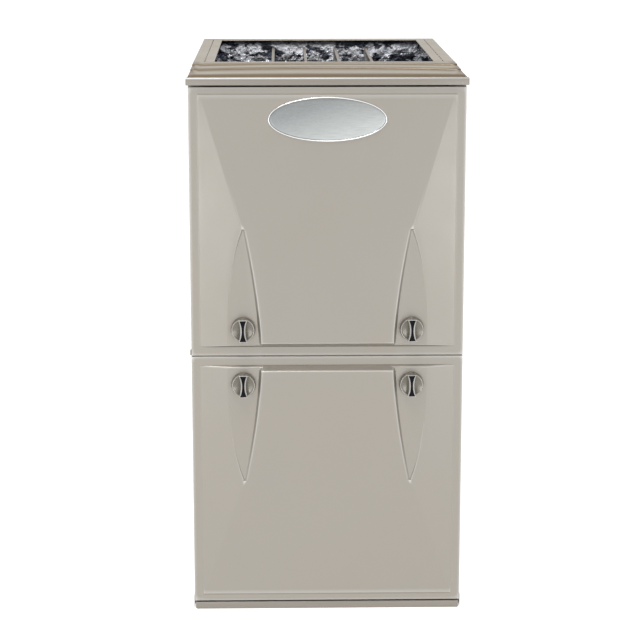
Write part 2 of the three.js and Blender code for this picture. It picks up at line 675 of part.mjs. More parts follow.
function blowerDeck() {
  const [front, rear] = outletDepths();
  const half = BLOWER_WIDTH / 2;
  const bottom = DECK_HEIGHT - SHEET;
  const sheet = box(-INNER_HALF, INNER_HALF, RAIL_BACK + SEAT, CASE_REAR, bottom, DECK_HEIGHT);
  const inner = SCROLL_SHEET;
  const mouth = box(-half + inner, half - inner, front + inner, rear - inner, bottom - 1, DECK_HEIGHT + 1);
  const grommet = HARNESS_RADIUS + GROMMET_MARGIN;
  const wireHole = rod('z', grommet, bottom - 1, DECK_HEIGHT + 1, HARNESS_X, HARNESS_DEPTH, 16);
  return cut(sheet, mouth, wireHole);
}

function cellPanel() {
  const back = CELL_PANEL_DEPTH + SHEET;
  const top = PLATE_TOP - SHEET - SEAT;
  const sheet = box(-INNER_HALF, INNER_HALF, CELL_PANEL_DEPTH, back, DECK_HEIGHT + SEAT, top);
  const holes = CELL_XS.flatMap((x) => [
    rod('y', CELL_PORT_RADIUS, CELL_PANEL_DEPTH - 1, back + 1, x, CELL_FIRST_PASS, 14),
    rod('y', CELL_PORT_RADIUS, CELL_PANEL_DEPTH - 1, back + 1, x, CELL_LAST_PASS, 14),
  ]);
  return cut(sheet, ...holes);
}

// Foil-faced insulation on both sides and the rear of the heat exchanger compartment.
function foilLiner() {
  const front = CELL_FRONT;
  const rear = CASE_REAR;
  const low = COIL_TOP + LINER_COIL_GAP;
  const top = CASE_HEIGHT - SHEET - SEAT;
  const inside = INNER_HALF - LINER_THICKNESS;
  return join(
    box(-INNER_HALF, -inside, front, rear, low, top),
    box(inside, INNER_HALF, front, rear, low, top),
    box(-inside - 1, inside + 1, rear - LINER_THICKNESS, rear, low, top),
  );
}

// ---------------------------------------------------------------- heat exchanger

// One clamshell cell: flat passes, one above the other, joined by bends at alternate ends.
function heatExchangerCell() {
  const wall = SHEET;
  const bulge = (z, half, rise) => [
    [half * 0.35, z + rise],
    [half, z + rise * 0.55],
    [half, z - rise * 0.55],
    [half * 0.35, z - rise],
  ];
  const ring = (z, half, rise) => {
    const right = bulge(z, half, rise);
    return [...right, ...right.map(([x, h]) => [-x, h]).reverse()];
  };
  const right = [[CELL_WEB, CELL_TOP]];
  const rise = CELL_PASS_HEIGHT / 2;
  for (let i = 0; i < CELL_PASSES; i += 1) {
    const z = CELL_FIRST_PASS - i * CELL_PASS_PITCH;
    right.push([CELL_WEB, z + rise + CELL_WEB]);
    right.push(...bulge(z, CELL_HALF_WIDTH, rise));
    right.push([CELL_WEB, z - rise - CELL_WEB]);
  }
  right.push([CELL_WEB, CELL_LAST_PASS - rise - 2 * CELL_WEB]);
  const outline = [...right, ...right.map(([x, z]) => [-x, z]).reverse()];
  const outer = [prismY(outline, 0, CELL_LENGTH)];
  const inner = [];
  for (let i = 0; i < CELL_PASSES; i += 1) {
    const z = CELL_FIRST_PASS - i * CELL_PASS_PITCH;
    const open = i === 0 || i === CELL_PASSES - 1;
    const start = open ? -1 : wall;
    inner.push(prismY(ring(z, CELL_HALF_WIDTH - wall, rise - wall), start, CELL_LENGTH - wall));
    if (i < CELL_PASSES - 1) {
      const atRear = i % 2 === 0;
      const [y0, y1] = atRear ? [CELL_LENGTH - CELL_BEND, CELL_LENGTH] : [0, CELL_BEND];
      const bendHalf = CELL_HALF_WIDTH - 2 * wall;
      const [low, high] = [z - CELL_PASS_PITCH, z];
      outer.push(box(-bendHalf, bendHalf, y0, y1, low, high));
      inner.push(box(-bendHalf + wall, bendHalf - wall, y0 + wall, y1 - wall, low, high));
    }
  }
  return cut(join(...outer), ...inner);
}

// Condensing coil: a pack of fins between two end plates, open from below to above.
function secondaryCoil() {
  const half = HALF_WIDTH - COIL_INSET;
  const front = CELL_PANEL_DEPTH + SHEET + COIL_FRONT_GAP;
  const length = CASE_REAR - COIL_REAR_GAP - front;
  const block = box(-half, half, front, front + length, COIL_BOTTOM, COIL_TOP);
  const room = length - 2 * COIL_END_PLATE - COIL_FINS * COIL_FIN_THICKNESS;
  const slot = room / (COIL_FINS + 1);
  const finHalf = half - COIL_END_PLATE;
  const slots = [];
  for (let i = 0; i <= COIL_FINS; i += 1) {
    const y = front + COIL_END_PLATE + i * (slot + COIL_FIN_THICKNESS);
    slots.push(box(-finHalf, finHalf, y, y + slot, COIL_BOTTOM - 1, COIL_TOP + 1));
  }
  return cut(block, ...slots);
}

// ---------------------------------------------------------------- flue side

// Box in front of the cell panel that leads the flue gas from the cells to the inducer.
function couplingBox() {
  const half = INNER_HALF - TRAP_SIDE_GAP - TRAP_WIDTH - COUPLING_TRAP_GAP;
  const front = VESTIBULE_BACK - COUPLING_DEPTH;
  const wall = COUPLING_WALL;
  const outer = box(-half, half, front, VESTIBULE_BACK, COUPLING_BOTTOM, COUPLING_TOP);
  const inner = box(
    -half + wall,
    half - wall,
    front + wall,
    VESTIBULE_BACK + 1,
    COUPLING_BOTTOM + wall,
    COUPLING_TOP - wall,
  );
  const eye = rod('y', INDUCER_EYE_RADIUS, front - 1, front + wall + 1, INDUCER_X, INDUCER_HEIGHT);
  return cut(outer, inner, eye);
}

const COUPLING_BOTTOM = DECK_HEIGHT + COUPLING_RISE;
const COUPLING_TOP = COUPLING_BOTTOM + COUPLING_HEIGHT;
const INDUCER_HEIGHT = (COUPLING_BOTTOM + COUPLING_TOP) / 2;
const INDUCER_BACK = VESTIBULE_BACK - COUPLING_DEPTH - SEAT;
const INDUCER_FRONT = INDUCER_BACK - INDUCER_DEPTH;
const WHEEL_FRONT = INDUCER_FRONT + (INDUCER_DEPTH - INDUCER_WHEEL_DEPTH) / 2;
const MOTOR_BACK = INDUCER_FRONT - SEAT;
const MOTOR_FRONT = MOTOR_BACK - INDUCER_MOTOR_LENGTH;
const INDUCER_FAN_BACK = MOTOR_FRONT - INDUCER_FAN_GAP;
const FLUE_DEPTH = (INDUCER_FRONT + INDUCER_BACK) / 2;
const FLUE_HEIGHT = INDUCER_HEIGHT + INDUCER_RADIUS - FLUE_RADIUS;
const FLUE_OUTLET_X = INDUCER_X + INDUCER_NECK;

function inducerHousing() {
  const wall = INDUCER_WALL;
  const [low, high] = [FLUE_HEIGHT - FLUE_RADIUS, FLUE_HEIGHT + FLUE_RADIUS];
  const [front, back] = [INDUCER_FRONT, INDUCER_BACK];
  const across = (radius, y0, y1, sides) => rod('y', radius, y0, y1, INDUCER_X, INDUCER_HEIGHT, sides);
  const outer = join(
    across(INDUCER_RADIUS, front, back, 28),
    box(INDUCER_X, FLUE_OUTLET_X, front, back, low, high),
  );
  const inner = join(
    across(INDUCER_RADIUS - wall, front + wall, back - wall, 28),
    box(INDUCER_X, FLUE_OUTLET_X + 1, front + wall, back - wall, low + wall, high - wall),
  );
  const shaftHole = across(INDUCER_SHAFT_RADIUS + SEAT, front - 1, front + wall + 1, 12);
  const eye = across(INDUCER_EYE_RADIUS, back - wall - 1, back + 1, 24);
  return cut(outer, inner, shaftHole, eye);
}

// Centred on its own axis: the wheel on its shaft, along Y from the fan to the wheel.
function inducerWheel() {
  const along = (radius, from, to, sides) => rod('y', radius, from, to, 0, 0, sides);
  const disc = along(INDUCER_WHEEL_RADIUS, WHEEL_FRONT, WHEEL_FRONT + INDUCER_PLATE, 24);
  const [fanEnd, wheelEnd] = [INDUCER_FAN_BACK - INDUCER_SHAFT_END, WHEEL_FRONT + INDUCER_SHAFT_END];
  const shaft = along(INDUCER_SHAFT_RADIUS, fanEnd, wheelEnd, 12);
  const hub = along(INDUCER_HUB_RADIUS, WHEEL_FRONT, WHEEL_FRONT + INDUCER_HUB_LENGTH, 16);
  const middle = INDUCER_WHEEL_RADIUS - INDUCER_BLADE_INSET - INDUCER_BLADE_LENGTH / 2;
  const blades = [];
  for (let i = 0; i < INDUCER_BLADES; i += 1) {
    const blade = new THREE.BoxGeometry(INDUCER_BLADE_LENGTH, INDUCER_WHEEL_DEPTH, INDUCER_BLADE_THICKNESS);
    blade.translate(middle, WHEEL_FRONT + INDUCER_WHEEL_DEPTH / 2, 0);
    blade.rotateY((2 * Math.PI * i) / INDUCER_BLADES);
    blades.push(solid(blade));
  }
  return join(disc, shaft, hub, ...blades);
}

function inducerCoolingFan() {
  const front = INDUCER_FAN_BACK - INDUCER_FAN_HUB_LENGTH;
  const bore = rod('y', INDUCER_SHAFT_RADIUS + SEAT, front - 1, INDUCER_FAN_BACK + 1, 0, 0, 12);
  const hub = rod('y', INDUCER_FAN_HUB_RADIUS, front, INDUCER_FAN_BACK, 0, 0, 16);
  const length = INDUCER_FAN_RADIUS - INDUCER_FAN_ROOT;
  const pitch = THREE.MathUtils.degToRad(INDUCER_FAN_PITCH);
  const blades = [];
  for (let i = 0; i < INDUCER_FAN_BLADES; i += 1) {
    const blade = new THREE.BoxGeometry(length, INDUCER_BLADE_THICKNESS, INDUCER_FAN_CHORD);
    blade.rotateX(pitch);
    blade.translate(INDUCER_FAN_ROOT + length / 2, (front + INDUCER_FAN_BACK) / 2, 0);
    blade.rotateY((2 * Math.PI * i) / INDUCER_FAN_BLADES);
    blades.push(solid(blade));
  }
  return cut(join(hub, ...blades), bore);
}

function inducerMotor() {
  const along = (radius, from, to, sides) => rod('y', radius, from, to, INDUCER_X, INDUCER_HEIGHT, sides);
  const flangeFront = MOTOR_BACK - INDUCER_FLANGE;
  const flange = along(INDUCER_MOTOR_RADIUS + INDUCER_FLANGE_MARGIN, flangeFront, MOTOR_BACK, 24);
  const body = along(INDUCER_MOTOR_RADIUS, MOTOR_FRONT, MOTOR_BACK - 1, 24);
  const bore = along(INDUCER_SHAFT_RADIUS + SEAT, MOTOR_FRONT - 1, MOTOR_BACK + 1, 12);
  return cut(join(flange, body), bore);
}

// Pipe from the inducer's outlet to the cabinet's side.
function ventPipe() {
  const radius = FLUE_RADIUS - INDUCER_WALL;
  const start = FLUE_OUTLET_X + SEAT;
  const pipe = (r, reach) => rod('x', r, start - reach, INNER_HALF + reach, FLUE_DEPTH, FLUE_HEIGHT);
  return cut(pipe(radius, 0), pipe(radius - VENT_WALL, 1));
}

// ---------------------------------------------------------------- gas side

const BURNER_BACK = VESTIBULE_BACK;
const BURNER_BOX_FRONT = VESTIBULE_BACK - BURNER_BOX_DEPTH;

function burnerBox() {
  const half = BURNER_BOX_WIDTH / 2;
  const [bottom, top] = [BURNER_HEIGHT - BURNER_BOX_HEIGHT / 2, BURNER_HEIGHT + BURNER_BOX_HEIGHT / 2];
  const outer = box(-half, half, BURNER_BOX_FRONT, BURNER_BACK, bottom, top);
  const inner = box(
    -half + SHEET,
    half - SHEET,
    BURNER_BOX_FRONT - 1,
    BURNER_BACK - SHEET,
    bottom + SHEET,
    top - SHEET,
  );
  const portFront = BURNER_BACK - BURNER_SLEEVE;
  const port = (x) => rod('y', BURNER_RADIUS + SEAT, portFront, BURNER_BACK + 1, x, BURNER_HEIGHT, 14);
  const ports = CELL_XS.map(port);
  return cut(outer, inner, ...ports);
}

// Four in-shot burners, joined by the strip that carries the flame across.
function burners() {
  const front = BURNER_BACK - BURNER_LENGTH;
  const wall = BURNER_WALL;
  const mouth = BURNER_MOUTH_RADIUS;
  const throat = front + BURNER_MOUTH_LENGTH;
  const flare = front + BURNER_FLARE;
  const profile = [
    [mouth, front],
    [BURNER_THROAT_RADIUS, throat],
    [BURNER_RADIUS, flare],
    [BURNER_RADIUS, BURNER_BACK],
    [BURNER_RADIUS - wall, BURNER_BACK],
    [BURNER_RADIUS - wall, flare],
    [BURNER_THROAT_RADIUS - wall, throat],
    [mouth - wall, front],
    [mouth, front],
  ];
  const tubes = CELL_XS.map((x) => turned(profile, 14).translate([x, 0, BURNER_HEIGHT]));
  const last = CELL_XS[CELL_COUNT - 1];
  const stripBack = BURNER_BACK - BURNER_STRIP_SETBACK;
  const stripFront = stripBack - BURNER_STRIP_WIDTH;
  const stripBottom = BURNER_HEIGHT + BURNER_RADIUS - wall / 2;
  const strip = box(-last, last, stripFront, stripBack, stripBottom, stripBottom + BURNER_STRIP_THICKNESS);
  return join(strip, ...tubes);
}

const VALVE_RIGHT = -(BURNER_BOX_WIDTH / 2) - GAS_VALVE_GAP;
const VALVE_LEFT = VALVE_RIGHT - GAS_VALVE_WIDTH;
const VALVE_X = (VALVE_LEFT + VALVE_RIGHT) / 2;
const VALVE_FRONT = MANIFOLD_DEPTH - GAS_VALVE_DEPTH / 2;
const VALVE_BOTTOM = BURNER_HEIGHT - GAS_VALVE_HEIGHT / 2;
const GAS_KNOB_HEIGHT = BURNER_HEIGHT - GAS_KNOB_DROP;

function gasManifold() {
  const half = BURNER_BOX_WIDTH / 2;
  const pipe = rod('x', MANIFOLD_RADIUS, VALVE_RIGHT + SEAT, half, MANIFOLD_DEPTH, BURNER_HEIGHT, 20);
  const orificeEnd = BURNER_BACK - BURNER_LENGTH - SEAT;
  const orifice = (x) => rod('y', ORIFICE_RADIUS, MANIFOLD_DEPTH, orificeEnd, x, BURNER_HEIGHT, 10);
  const orifices = CELL_XS.map(orifice);
  const armBack = BURNER_BOX_FRONT - SEAT;
  const armMiddle = (MANIFOLD_DEPTH + armBack) / 2;
  const [low, high] = [BURNER_HEIGHT - MANIFOLD_ARM_HEIGHT / 2, BURNER_HEIGHT + MANIFOLD_ARM_HEIGHT / 2];
  const arms = [-half + MANIFOLD_ARM_INSET, half - MANIFOLD_ARM_INSET].map((x) =>
    post(x, armMiddle, MANIFOLD_ARM_THICKNESS, armBack - MANIFOLD_DEPTH, low, high));
  return join(pipe, ...orifices, ...arms);
}

function gasValve() {
  const back = VALVE_FRONT + GAS_VALVE_DEPTH;
  const top = VALVE_BOTTOM + GAS_VALVE_HEIGHT;
  const shoulder = top - GAS_CAP_HEIGHT;
  const capWidth = GAS_VALVE_WIDTH - 2 * GAS_CAP_INSET;
  const capDepth = GAS_VALVE_DEPTH - 2 * GAS_CAP_INSET;
  const bossFront = VALVE_FRONT - GAS_BOSS;
  const onKnob = (radius, from, to, sides) => rod('y', radius, from, to, VALVE_X, GAS_KNOB_HEIGHT, sides);
  const body = box(VALVE_LEFT, VALVE_RIGHT, VALVE_FRONT, back, VALVE_BOTTOM, shoulder);
  const cap = post(VALVE_X, MANIFOLD_DEPTH, capWidth, capDepth, shoulder - 1, top);
  const [towerLow, towerHigh] = [VALVE_BOTTOM + GAS_TOWER_BASE, top + GAS_TOWER_RISE];
  const tower = rod('z', GAS_TOWER_RADIUS, towerLow, towerHigh, VALVE_X, back - GAS_TOWER_SETBACK, 16);
  const boss = onKnob(GAS_KNOB_RADIUS + GAS_BOSS_MARGIN, bossFront, VALVE_FRONT + 1, 20);
  const bore = onKnob(GAS_KNOB_PIN_RADIUS + SEAT, bossFront - 1, VALVE_FRONT + GAS_KNOB_PIN_LENGTH, 12);
  return cut(join(body, cap, tower, boss), bore);
}

// Centred on its own axis, with its pin pointing back into the valve.
function gasValveKnob() {
  const disc = rod('y', GAS_KNOB_RADIUS, -GAS_KNOB_THICKNESS / 2, 0, 0, 0, 20);
  const gripHalf = GAS_KNOB_RADIUS - GAS_GRIP_INSET;
  const grip = box(-GAS_GRIP_WIDTH / 2, GAS_GRIP_WIDTH / 2, -GAS_KNOB_THICKNESS, -1, -gripHalf, gripHalf);
  const pin = rod('y', GAS_KNOB_PIN_RADIUS, -1, GAS_KNOB_PIN_LENGTH, 0, 0, 12);
  return join(disc, grip, pin);
}

function gasInletPipe() {
  const top = VALVE_BOTTOM - SEAT;
  const exit = VALVE_BOTTOM - GAS_PIPE_DROP;
  const path = [
    [VALVE_X, MANIFOLD_DEPTH, top],
    [VALVE_X, MANIFOLD_DEPTH, exit + GAS_PIPE_BEND],
    [VALVE_X - 0.3 * GAS_PIPE_BEND, MANIFOLD_DEPTH, exit + 0.3 * GAS_PIPE_BEND],
    [VALVE_X - GAS_PIPE_BEND, MANIFOLD_DEPTH, exit],
    [-INNER_HALF, MANIFOLD_DEPTH, exit],
  ];
  return tube(path, GAS_PIPE_RADIUS, 9, 10);
}

const PROBE_TOP = BURNER_HEIGHT - BURNER_BOX_HEIGHT / 2 - SEAT;
const PROBE_DEPTH = BURNER_BACK - PROBE_SETBACK;

// Hot surface igniter, hung under the burner box by its plate.
function igniter() {
  const x = CELL_XS[CELL_COUNT - 1];
  const plate = post(x, PROBE_DEPTH, IGNITER_PLATE, IGNITER_PLATE_DEPTH, PROBE_TOP - SHEET, PROBE_TOP);
  const low = PROBE_TOP - IGNITER_LENGTH;
  const block = post(x, PROBE_DEPTH, IGNITER_WIDTH, IGNITER_THICKNESS, low, PROBE_TOP - SHEET / 2);
  return join(plate, block);
}

function flameSensor() {
  const x = CELL_XS[0];
  const plate = post(x, PROBE_DEPTH, SENSOR_PLATE, SENSOR_PLATE_DEPTH, PROBE_TOP - SHEET, PROBE_TOP);
  const stem = rod('z', SENSOR_RADIUS, PROBE_TOP - SENSOR_LENGTH, PROBE_TOP - SHEET / 2, x, PROBE_DEPTH, 12);
  return join(plate, stem);
}

// Two rollout switches on one strip along the top of the burner box.
function rolloutSwitches() {
  const bottom = BURNER_HEIGHT + BURNER_BOX_HEIGHT / 2 + SEAT;
  const y = BURNER_BOX_FRONT + BURNER_BOX_DEPTH / 2;
  const strip = post(0, y, 2 * (CELL_PITCH + ROLLOUT_MARGIN), ROLLOUT_STRIP, bottom, bottom + SHEET);
  const low = bottom + SHEET / 2;
  const top = bottom + ROLLOUT_HEIGHT;
  const switches = [-CELL_PITCH, CELL_PITCH].map((x) => rod('z', ROLLOUT_RADIUS, low, top, x, y, 16));
  return join(strip, ...switches);
}

function limitSwitch() {
  const x = HALF_WIDTH - LIMIT_SIDE;
  const z = CELL_FIRST_PASS - 1.5 * CELL_PASS_PITCH;
  const front = VESTIBULE_BACK - LIMIT_THICKNESS;
  const disc = rod('y', LIMIT_RADIUS, front, VESTIBULE_BACK, x, z, 20);
  const reach = LIMIT_TERMINAL_HALF;
  const terminals = box(x - reach, x + reach, front - LIMIT_TERMINALS, front + 1, z - reach, z + reach);
  return join(disc, terminals);
}

// Round switch low on the cell panel, beside the coupling box.
function pressureSwitch() {
  const x = INNER_HALF - PRESSURE_RADIUS - PRESSURE_GAP;
  const z = DECK_HEIGHT + PRESSURE_RADIUS + PRESSURE_GAP;
  const foot = VESTIBULE_BACK - PRESSURE_FOOT;
  const rim = foot - PRESSURE_RIM;
  const half = PRESSURE_FOOT_WIDTH / 2;
  return join(
    rod('y', PRESSURE_RADIUS, rim, foot, x, z, 28),
    rod('y', PRESSURE_DOME_RADIUS, rim - PRESSURE_DOME, rim + 1, x, z, 20),
    box(x - half, x + half, foot - 1, VESTIBULE_BACK, z - half, z + half),
  );
}

// ---------------------------------------------------------------- drain

const TRAP_LEFT = -INNER_HALF + TRAP_SIDE_GAP;
const TRAP_X = TRAP_LEFT + TRAP_WIDTH / 2;
const TRAP_Y = VESTIBULE_BACK - TRAP_DEPTH / 2;
const TRAP_BOTTOM = DECK_HEIGHT + TRAP_RISE;
const TRAP_TOP = TRAP_BOTTOM + TRAP_HEIGHT;

function condensateTrap() {
  const front = VESTIBULE_BACK - TRAP_DEPTH;
  const shoulder = TRAP_BOTTOM + TRAP_SUMP;
  const narrow = 2 * TRAP_SUMP_INSET;
  const portHeight = TRAP_TOP - TRAP_PORT_DROP;
  return join(
    post(TRAP_X, TRAP_Y, TRAP_WIDTH, TRAP_DEPTH, shoulder, TRAP_TOP),
    post(TRAP_X, TRAP_Y, TRAP_WIDTH - narrow, TRAP_DEPTH - narrow, TRAP_BOTTOM, shoulder + 1),
    rod('y', TRAP_PORT_RADIUS, front - TRAP_PORT_LENGTH, front + 1, TRAP_X, portHeight, 14),
  );
}

function condensateHose() {
  const top = TRAP_BOTTOM - SEAT;
  const exit = DECK_HEIGHT + HOSE_RISE + HOSE_RADIUS;
  const path = [
    [TRAP_X, TRAP_Y, top],
    [TRAP_X, TRAP_Y, top - 6],
    [TRAP_X - 2, TRAP_Y - 3, exit + 10],
    [TRAP_X - 10, TRAP_Y - 8, exit + 2],
    [TRAP_X - 20, TRAP_Y - 10, exit],
    [-INNER_HALF, TRAP_Y - 10, exit],
  ];
  return tube(path, HOSE_RADIUS, 11, 8);
}

// ---------------------------------------------------------------- blower

// Outline of the scroll as [depth, height] points, a distance inside its outer face.
function scrollOutline(inset, top) {
  const [frontWall, rearWall] = outletDepths();
  const points = [];
  for (let i = 0; i <= SCROLL_STEPS; i += 1) {
    const t = i / SCROLL_STEPS;
    const angle = THREE.MathUtils.degToRad(SCROLL_CUTOFF + t * (360 - SCROLL_CUTOFF));
    const radius = SCROLL_START + t * (SCROLL_END - SCROLL_START) - inset;
    points.push([BLOWER_DEPTH + radius * Math.cos(angle), BLOWER_HEIGHT + radius * Math.sin(angle)]);
  }
  points[0][0] = frontWall + inset;
  return [...points, [rearWall - inset, top], [frontWall + inset, top]];
}

function blowerHousing() {
  const half = BLOWER_WIDTH / 2;
  const sheet = SCROLL_SHEET;
  const outer = prismX(scrollOutline(0, UNDER_DECK), -half, half);
  const inner = prismX(scrollOutline(sheet, UNDER_DECK + 1), -half + sheet, half - sheet);
  const inlets = rod('x', INLET_RADIUS, -half - 1, half + 1, BLOWER_DEPTH, BLOWER_HEIGHT, 28);
  return cut(outer, inner, inlets);
}

// Blades and end rings of the squirrel-cage wheel, centred on its own axis.
function blowerWheel() {
  const half = WHEEL_WIDTH / 2;
  const sides = 2 * WHEEL_BLADES;
  const [slotStart, slotEnd] = [WHEEL_MIDDLE / 2, half - WHEEL_BAND];
  const drum = rod('x', WHEEL_RADIUS, -half, half, 0, 0, sides);
  const bore = rod('x', WHEEL_RADIUS - BLADE_DEPTH, -half - 1, half + 1, 0, 0, sides);
  const slots = [];
  for (let i = 0; i < WHEEL_BLADES; i += 1) {
    for (const side of [-1, 1]) {
      const slot = new THREE.BoxGeometry(slotEnd - slotStart, 2 * BLADE_DEPTH, BLADE_GAP);
      slot.translate((side * (slotStart + slotEnd)) / 2, WHEEL_RADIUS - BLADE_DEPTH / 2, 0);
      slot.rotateX((2 * Math.PI * i) / WHEEL_BLADES);
      slots.push(solid(slot));
    }
  }
  return cut(drum, bore, ...slots);
}

const WHEEL_SHAFT_END = MOTOR_START + MOTOR_LENGTH / 2;

// Centre plate, hub and shaft of the wheel. The shaft runs into the motor.
function blowerWheelHub() {
  const radius = (WHEEL_RADIUS - BLADE_DEPTH) * Math.cos(Math.PI / (2 * WHEEL_BLADES)) - SEAT;
  const plate = rod('x', radius, -SHEET, SHEET, 0, 0, 2 * WHEEL_BLADES);
  const hub = rod('x', HUB_RADIUS, -HUB_LENGTH / 2, HUB_LENGTH / 2, 0, 0, 20);
  const shaft = rod('x', BLOWER_SHAFT_RADIUS, 0, WHEEL_SHAFT_END, 0, 0, 16);
  return join(plate, hub, shaft);
}

function blowerMotor() {
  const start = MOTOR_START;
  const end = start + MOTOR_LENGTH;
  const along = (radius, from, to, sides) => rod('x', radius, from, to, BLOWER_DEPTH, BLOWER_HEIGHT, sides);
  const body = along(MOTOR_RADIUS, start, end, 24);
  const nose = along(MOTOR_NOSE_RADIUS, start - MOTOR_NOSE, start + 1, 24);
  const tail = along(MOTOR_TAIL_RADIUS, end - 1, end + MOTOR_TAIL, 24);
  const boreEnd = WHEEL_SHAFT_END + MOTOR_BORE_MARGIN;
  const bore = along(BLOWER_SHAFT_RADIUS + SEAT, start - MOTOR_NOSE - 1, boreEnd, 16);
  return cut(join(body, nose, tail), bore);
}

// Clamp band round the motor, with arms to the side of the blower housing.
function motorMount() {
  const side = BLOWER_WIDTH / 2 + SEAT;
  const inner = MOTOR_RADIUS + SEAT;
  const outer = inner + MOUNT_BAND_THICKNESS;
  const band = cut(
    rod('x', outer, side, side + MOUNT_BAND, BLOWER_DEPTH, BLOWER_HEIGHT, 24),
    rod('x', inner, side - 1, side + MOUNT_BAND + 1, BLOWER_DEPTH, BLOWER_HEIGHT, 24),
  );
  const reach = INLET_RADIUS + MOUNT_ARM_OVERLAP;
  const arms = [];
  for (let i = 0; i < MOUNT_ARMS; i += 1) {
    const arm = new THREE.BoxGeometry(MOUNT_BAND_THICKNESS, reach - outer + 1, MOUNT_ARM_WIDTH);
    arm.translate(side + MOUNT_BAND_THICKNESS / 2, (reach + outer - 1) / 2, 0);
    arm.rotateX((2 * Math.PI * (i + 0.5)) / MOUNT_ARMS);
    arm.translate(0, BLOWER_DEPTH, BLOWER_HEIGHT);
    arms.push(solid(arm));
  }
  return join(band, ...arms);
}

// ---------------------------------------------------------------- electrics

const TRAY_FRONT = CONTROL_DEPTH - SHEET;
const CONTROL_BOTTOM = UNDER_DECK - CONTROL_HEIGHT;

// Tray that hangs from the blower deck and carries the control board and the transformer.
function controlBox() {
  const top = UNDER_DECK;
  const rimFront = CONTROL_DEPTH - CONTROL_RIM;
  const tray = box(CONTROL_LEFT, CONTROL_RIGHT, rimFront, CONTROL_DEPTH, CONTROL_BOTTOM, top);
  const room = box(
    CONTROL_LEFT + SHEET,
    CONTROL_RIGHT - SHEET,
    rimFront - 1,
    TRAY_FRONT,
    CONTROL_BOTTOM + SHEET,
    top - SHEET,
  );
  return cut(tray, room);
}

function controlBoard() {
  const x0 = CONTROL_LEFT + BOARD_MARGIN;
  const z0 = CONTROL_BOTTOM + BOARD_MARGIN + SHEET;
  const back = TRAY_FRONT - SEAT - BOARD_STANDOFF;
  const front = back - BOARD_THICKNESS;
  const x1 = x0 + BOARD_WIDTH;
  const z1 = z0 + BOARD_HEIGHT;
  const mounted = (x, z, width, height, depth) =>
    box(x, x + width, front - depth, front + BOARD_THICKNESS / 2, z, z + height);
  const inset = BOARD_POST_INSET;
  const posts = [x0 + inset, x1 - inset].flatMap((x) =>
    [z0 + inset, z1 - inset].map((z) =>
      rod('y', BOARD_POST_RADIUS, back - BOARD_THICKNESS / 2, TRAY_FRONT - SEAT, x, z, 8)),
  );
  const relays = Array.from({ length: RELAY_COUNT }, (_, i) =>
    mounted(
      x0 + RELAY_INSET + i * (RELAY_WIDTH + RELAY_GAP),
      z1 - 1.8 * RELAY_HEIGHT,
      RELAY_WIDTH,
      RELAY_HEIGHT,
      RELAY_DEPTH,
    ),
  );
  return join(
    box(x0, x1, front, back, z0, z1),
    ...relays,
    mounted(x1 - 1.3 * HIGH_PLUG_LENGTH, z1 - 3 * PLUG_HEIGHT, HIGH_PLUG_LENGTH, PLUG_HEIGHT, PLUG_DEPTH),
    mounted(x0 + RELAY_INSET, z0 + 1.3 * PLUG_HEIGHT, LOW_PLUG_LENGTH, PLUG_HEIGHT, PLUG_DEPTH),
    mounted(x0 + RELAY_INSET, z0 + 4 * PLUG_HEIGHT, CHIP_SIDE, CHIP_SIDE, CHIP_DEPTH),
    mounted(x1 - 1.8 * FILTER_WIDTH, z0 + FILTER_HEIGHT / 2, FILTER_WIDTH, FILTER_HEIGHT, FILTER_DEPTH),
    ...posts,
  );
}

function transformer() {
  const back = TRAY_FRONT - SEAT;
  const x0 = CONTROL_RIGHT - TRANSFORMER_SIDE - TRANSFORMER_WIDTH;
  const z0 = CONTROL_BOTTOM + TRANSFORMER_RISE;
  const x1 = x0 + TRANSFORMER_WIDTH;
  const z1 = z0 + TRANSFORMER_HEIGHT;
  const front = back - TRANSFORMER_DEPTH;
  const step = TRANSFORMER_STEP;
  const [low, high] = [z0 + FOOT_DROP, z1 - FOOT_DROP];
  const inset = WINDING_INSET;
  const core = box(x0, x1, front + step, back - step, z0, z1);
  const winding = box(x0 + inset, x1 - inset, front, back - 1, z0 + WINDING_DROP, z1 - WINDING_DROP);
  const foot = box(x0 - FOOT_REACH, x1 + FOOT_REACH, back - FOOT_THICKNESS, back, low, high);
  const legs = box(x0, x1, back - step - 1, back - FOOT_THICKNESS / 2, low, high);
  return join(core, winding, foot, legs);
}

// Interlock switch behind the rail. Its button reaches through the rail to the lower door.
function doorSwitch() {
  const front = RAIL_BACK + SEAT;
  const back = front + SWITCH_DEPTH;
  return cut(onButton(SWITCH_BODY / 2, front, back), onButton(BUTTON_HOLE, front - 1, back - SWITCH_FLOOR));
}

const LOWER_LINER_BACK = LOWER_LINER_DEPTH + SHEET;

function doorSwitchButton() {
  const front = LOWER_LINER_BACK + SEAT;
  return onButton(BUTTON_WIDTH / 2, front, front + BUTTON_LENGTH);
}

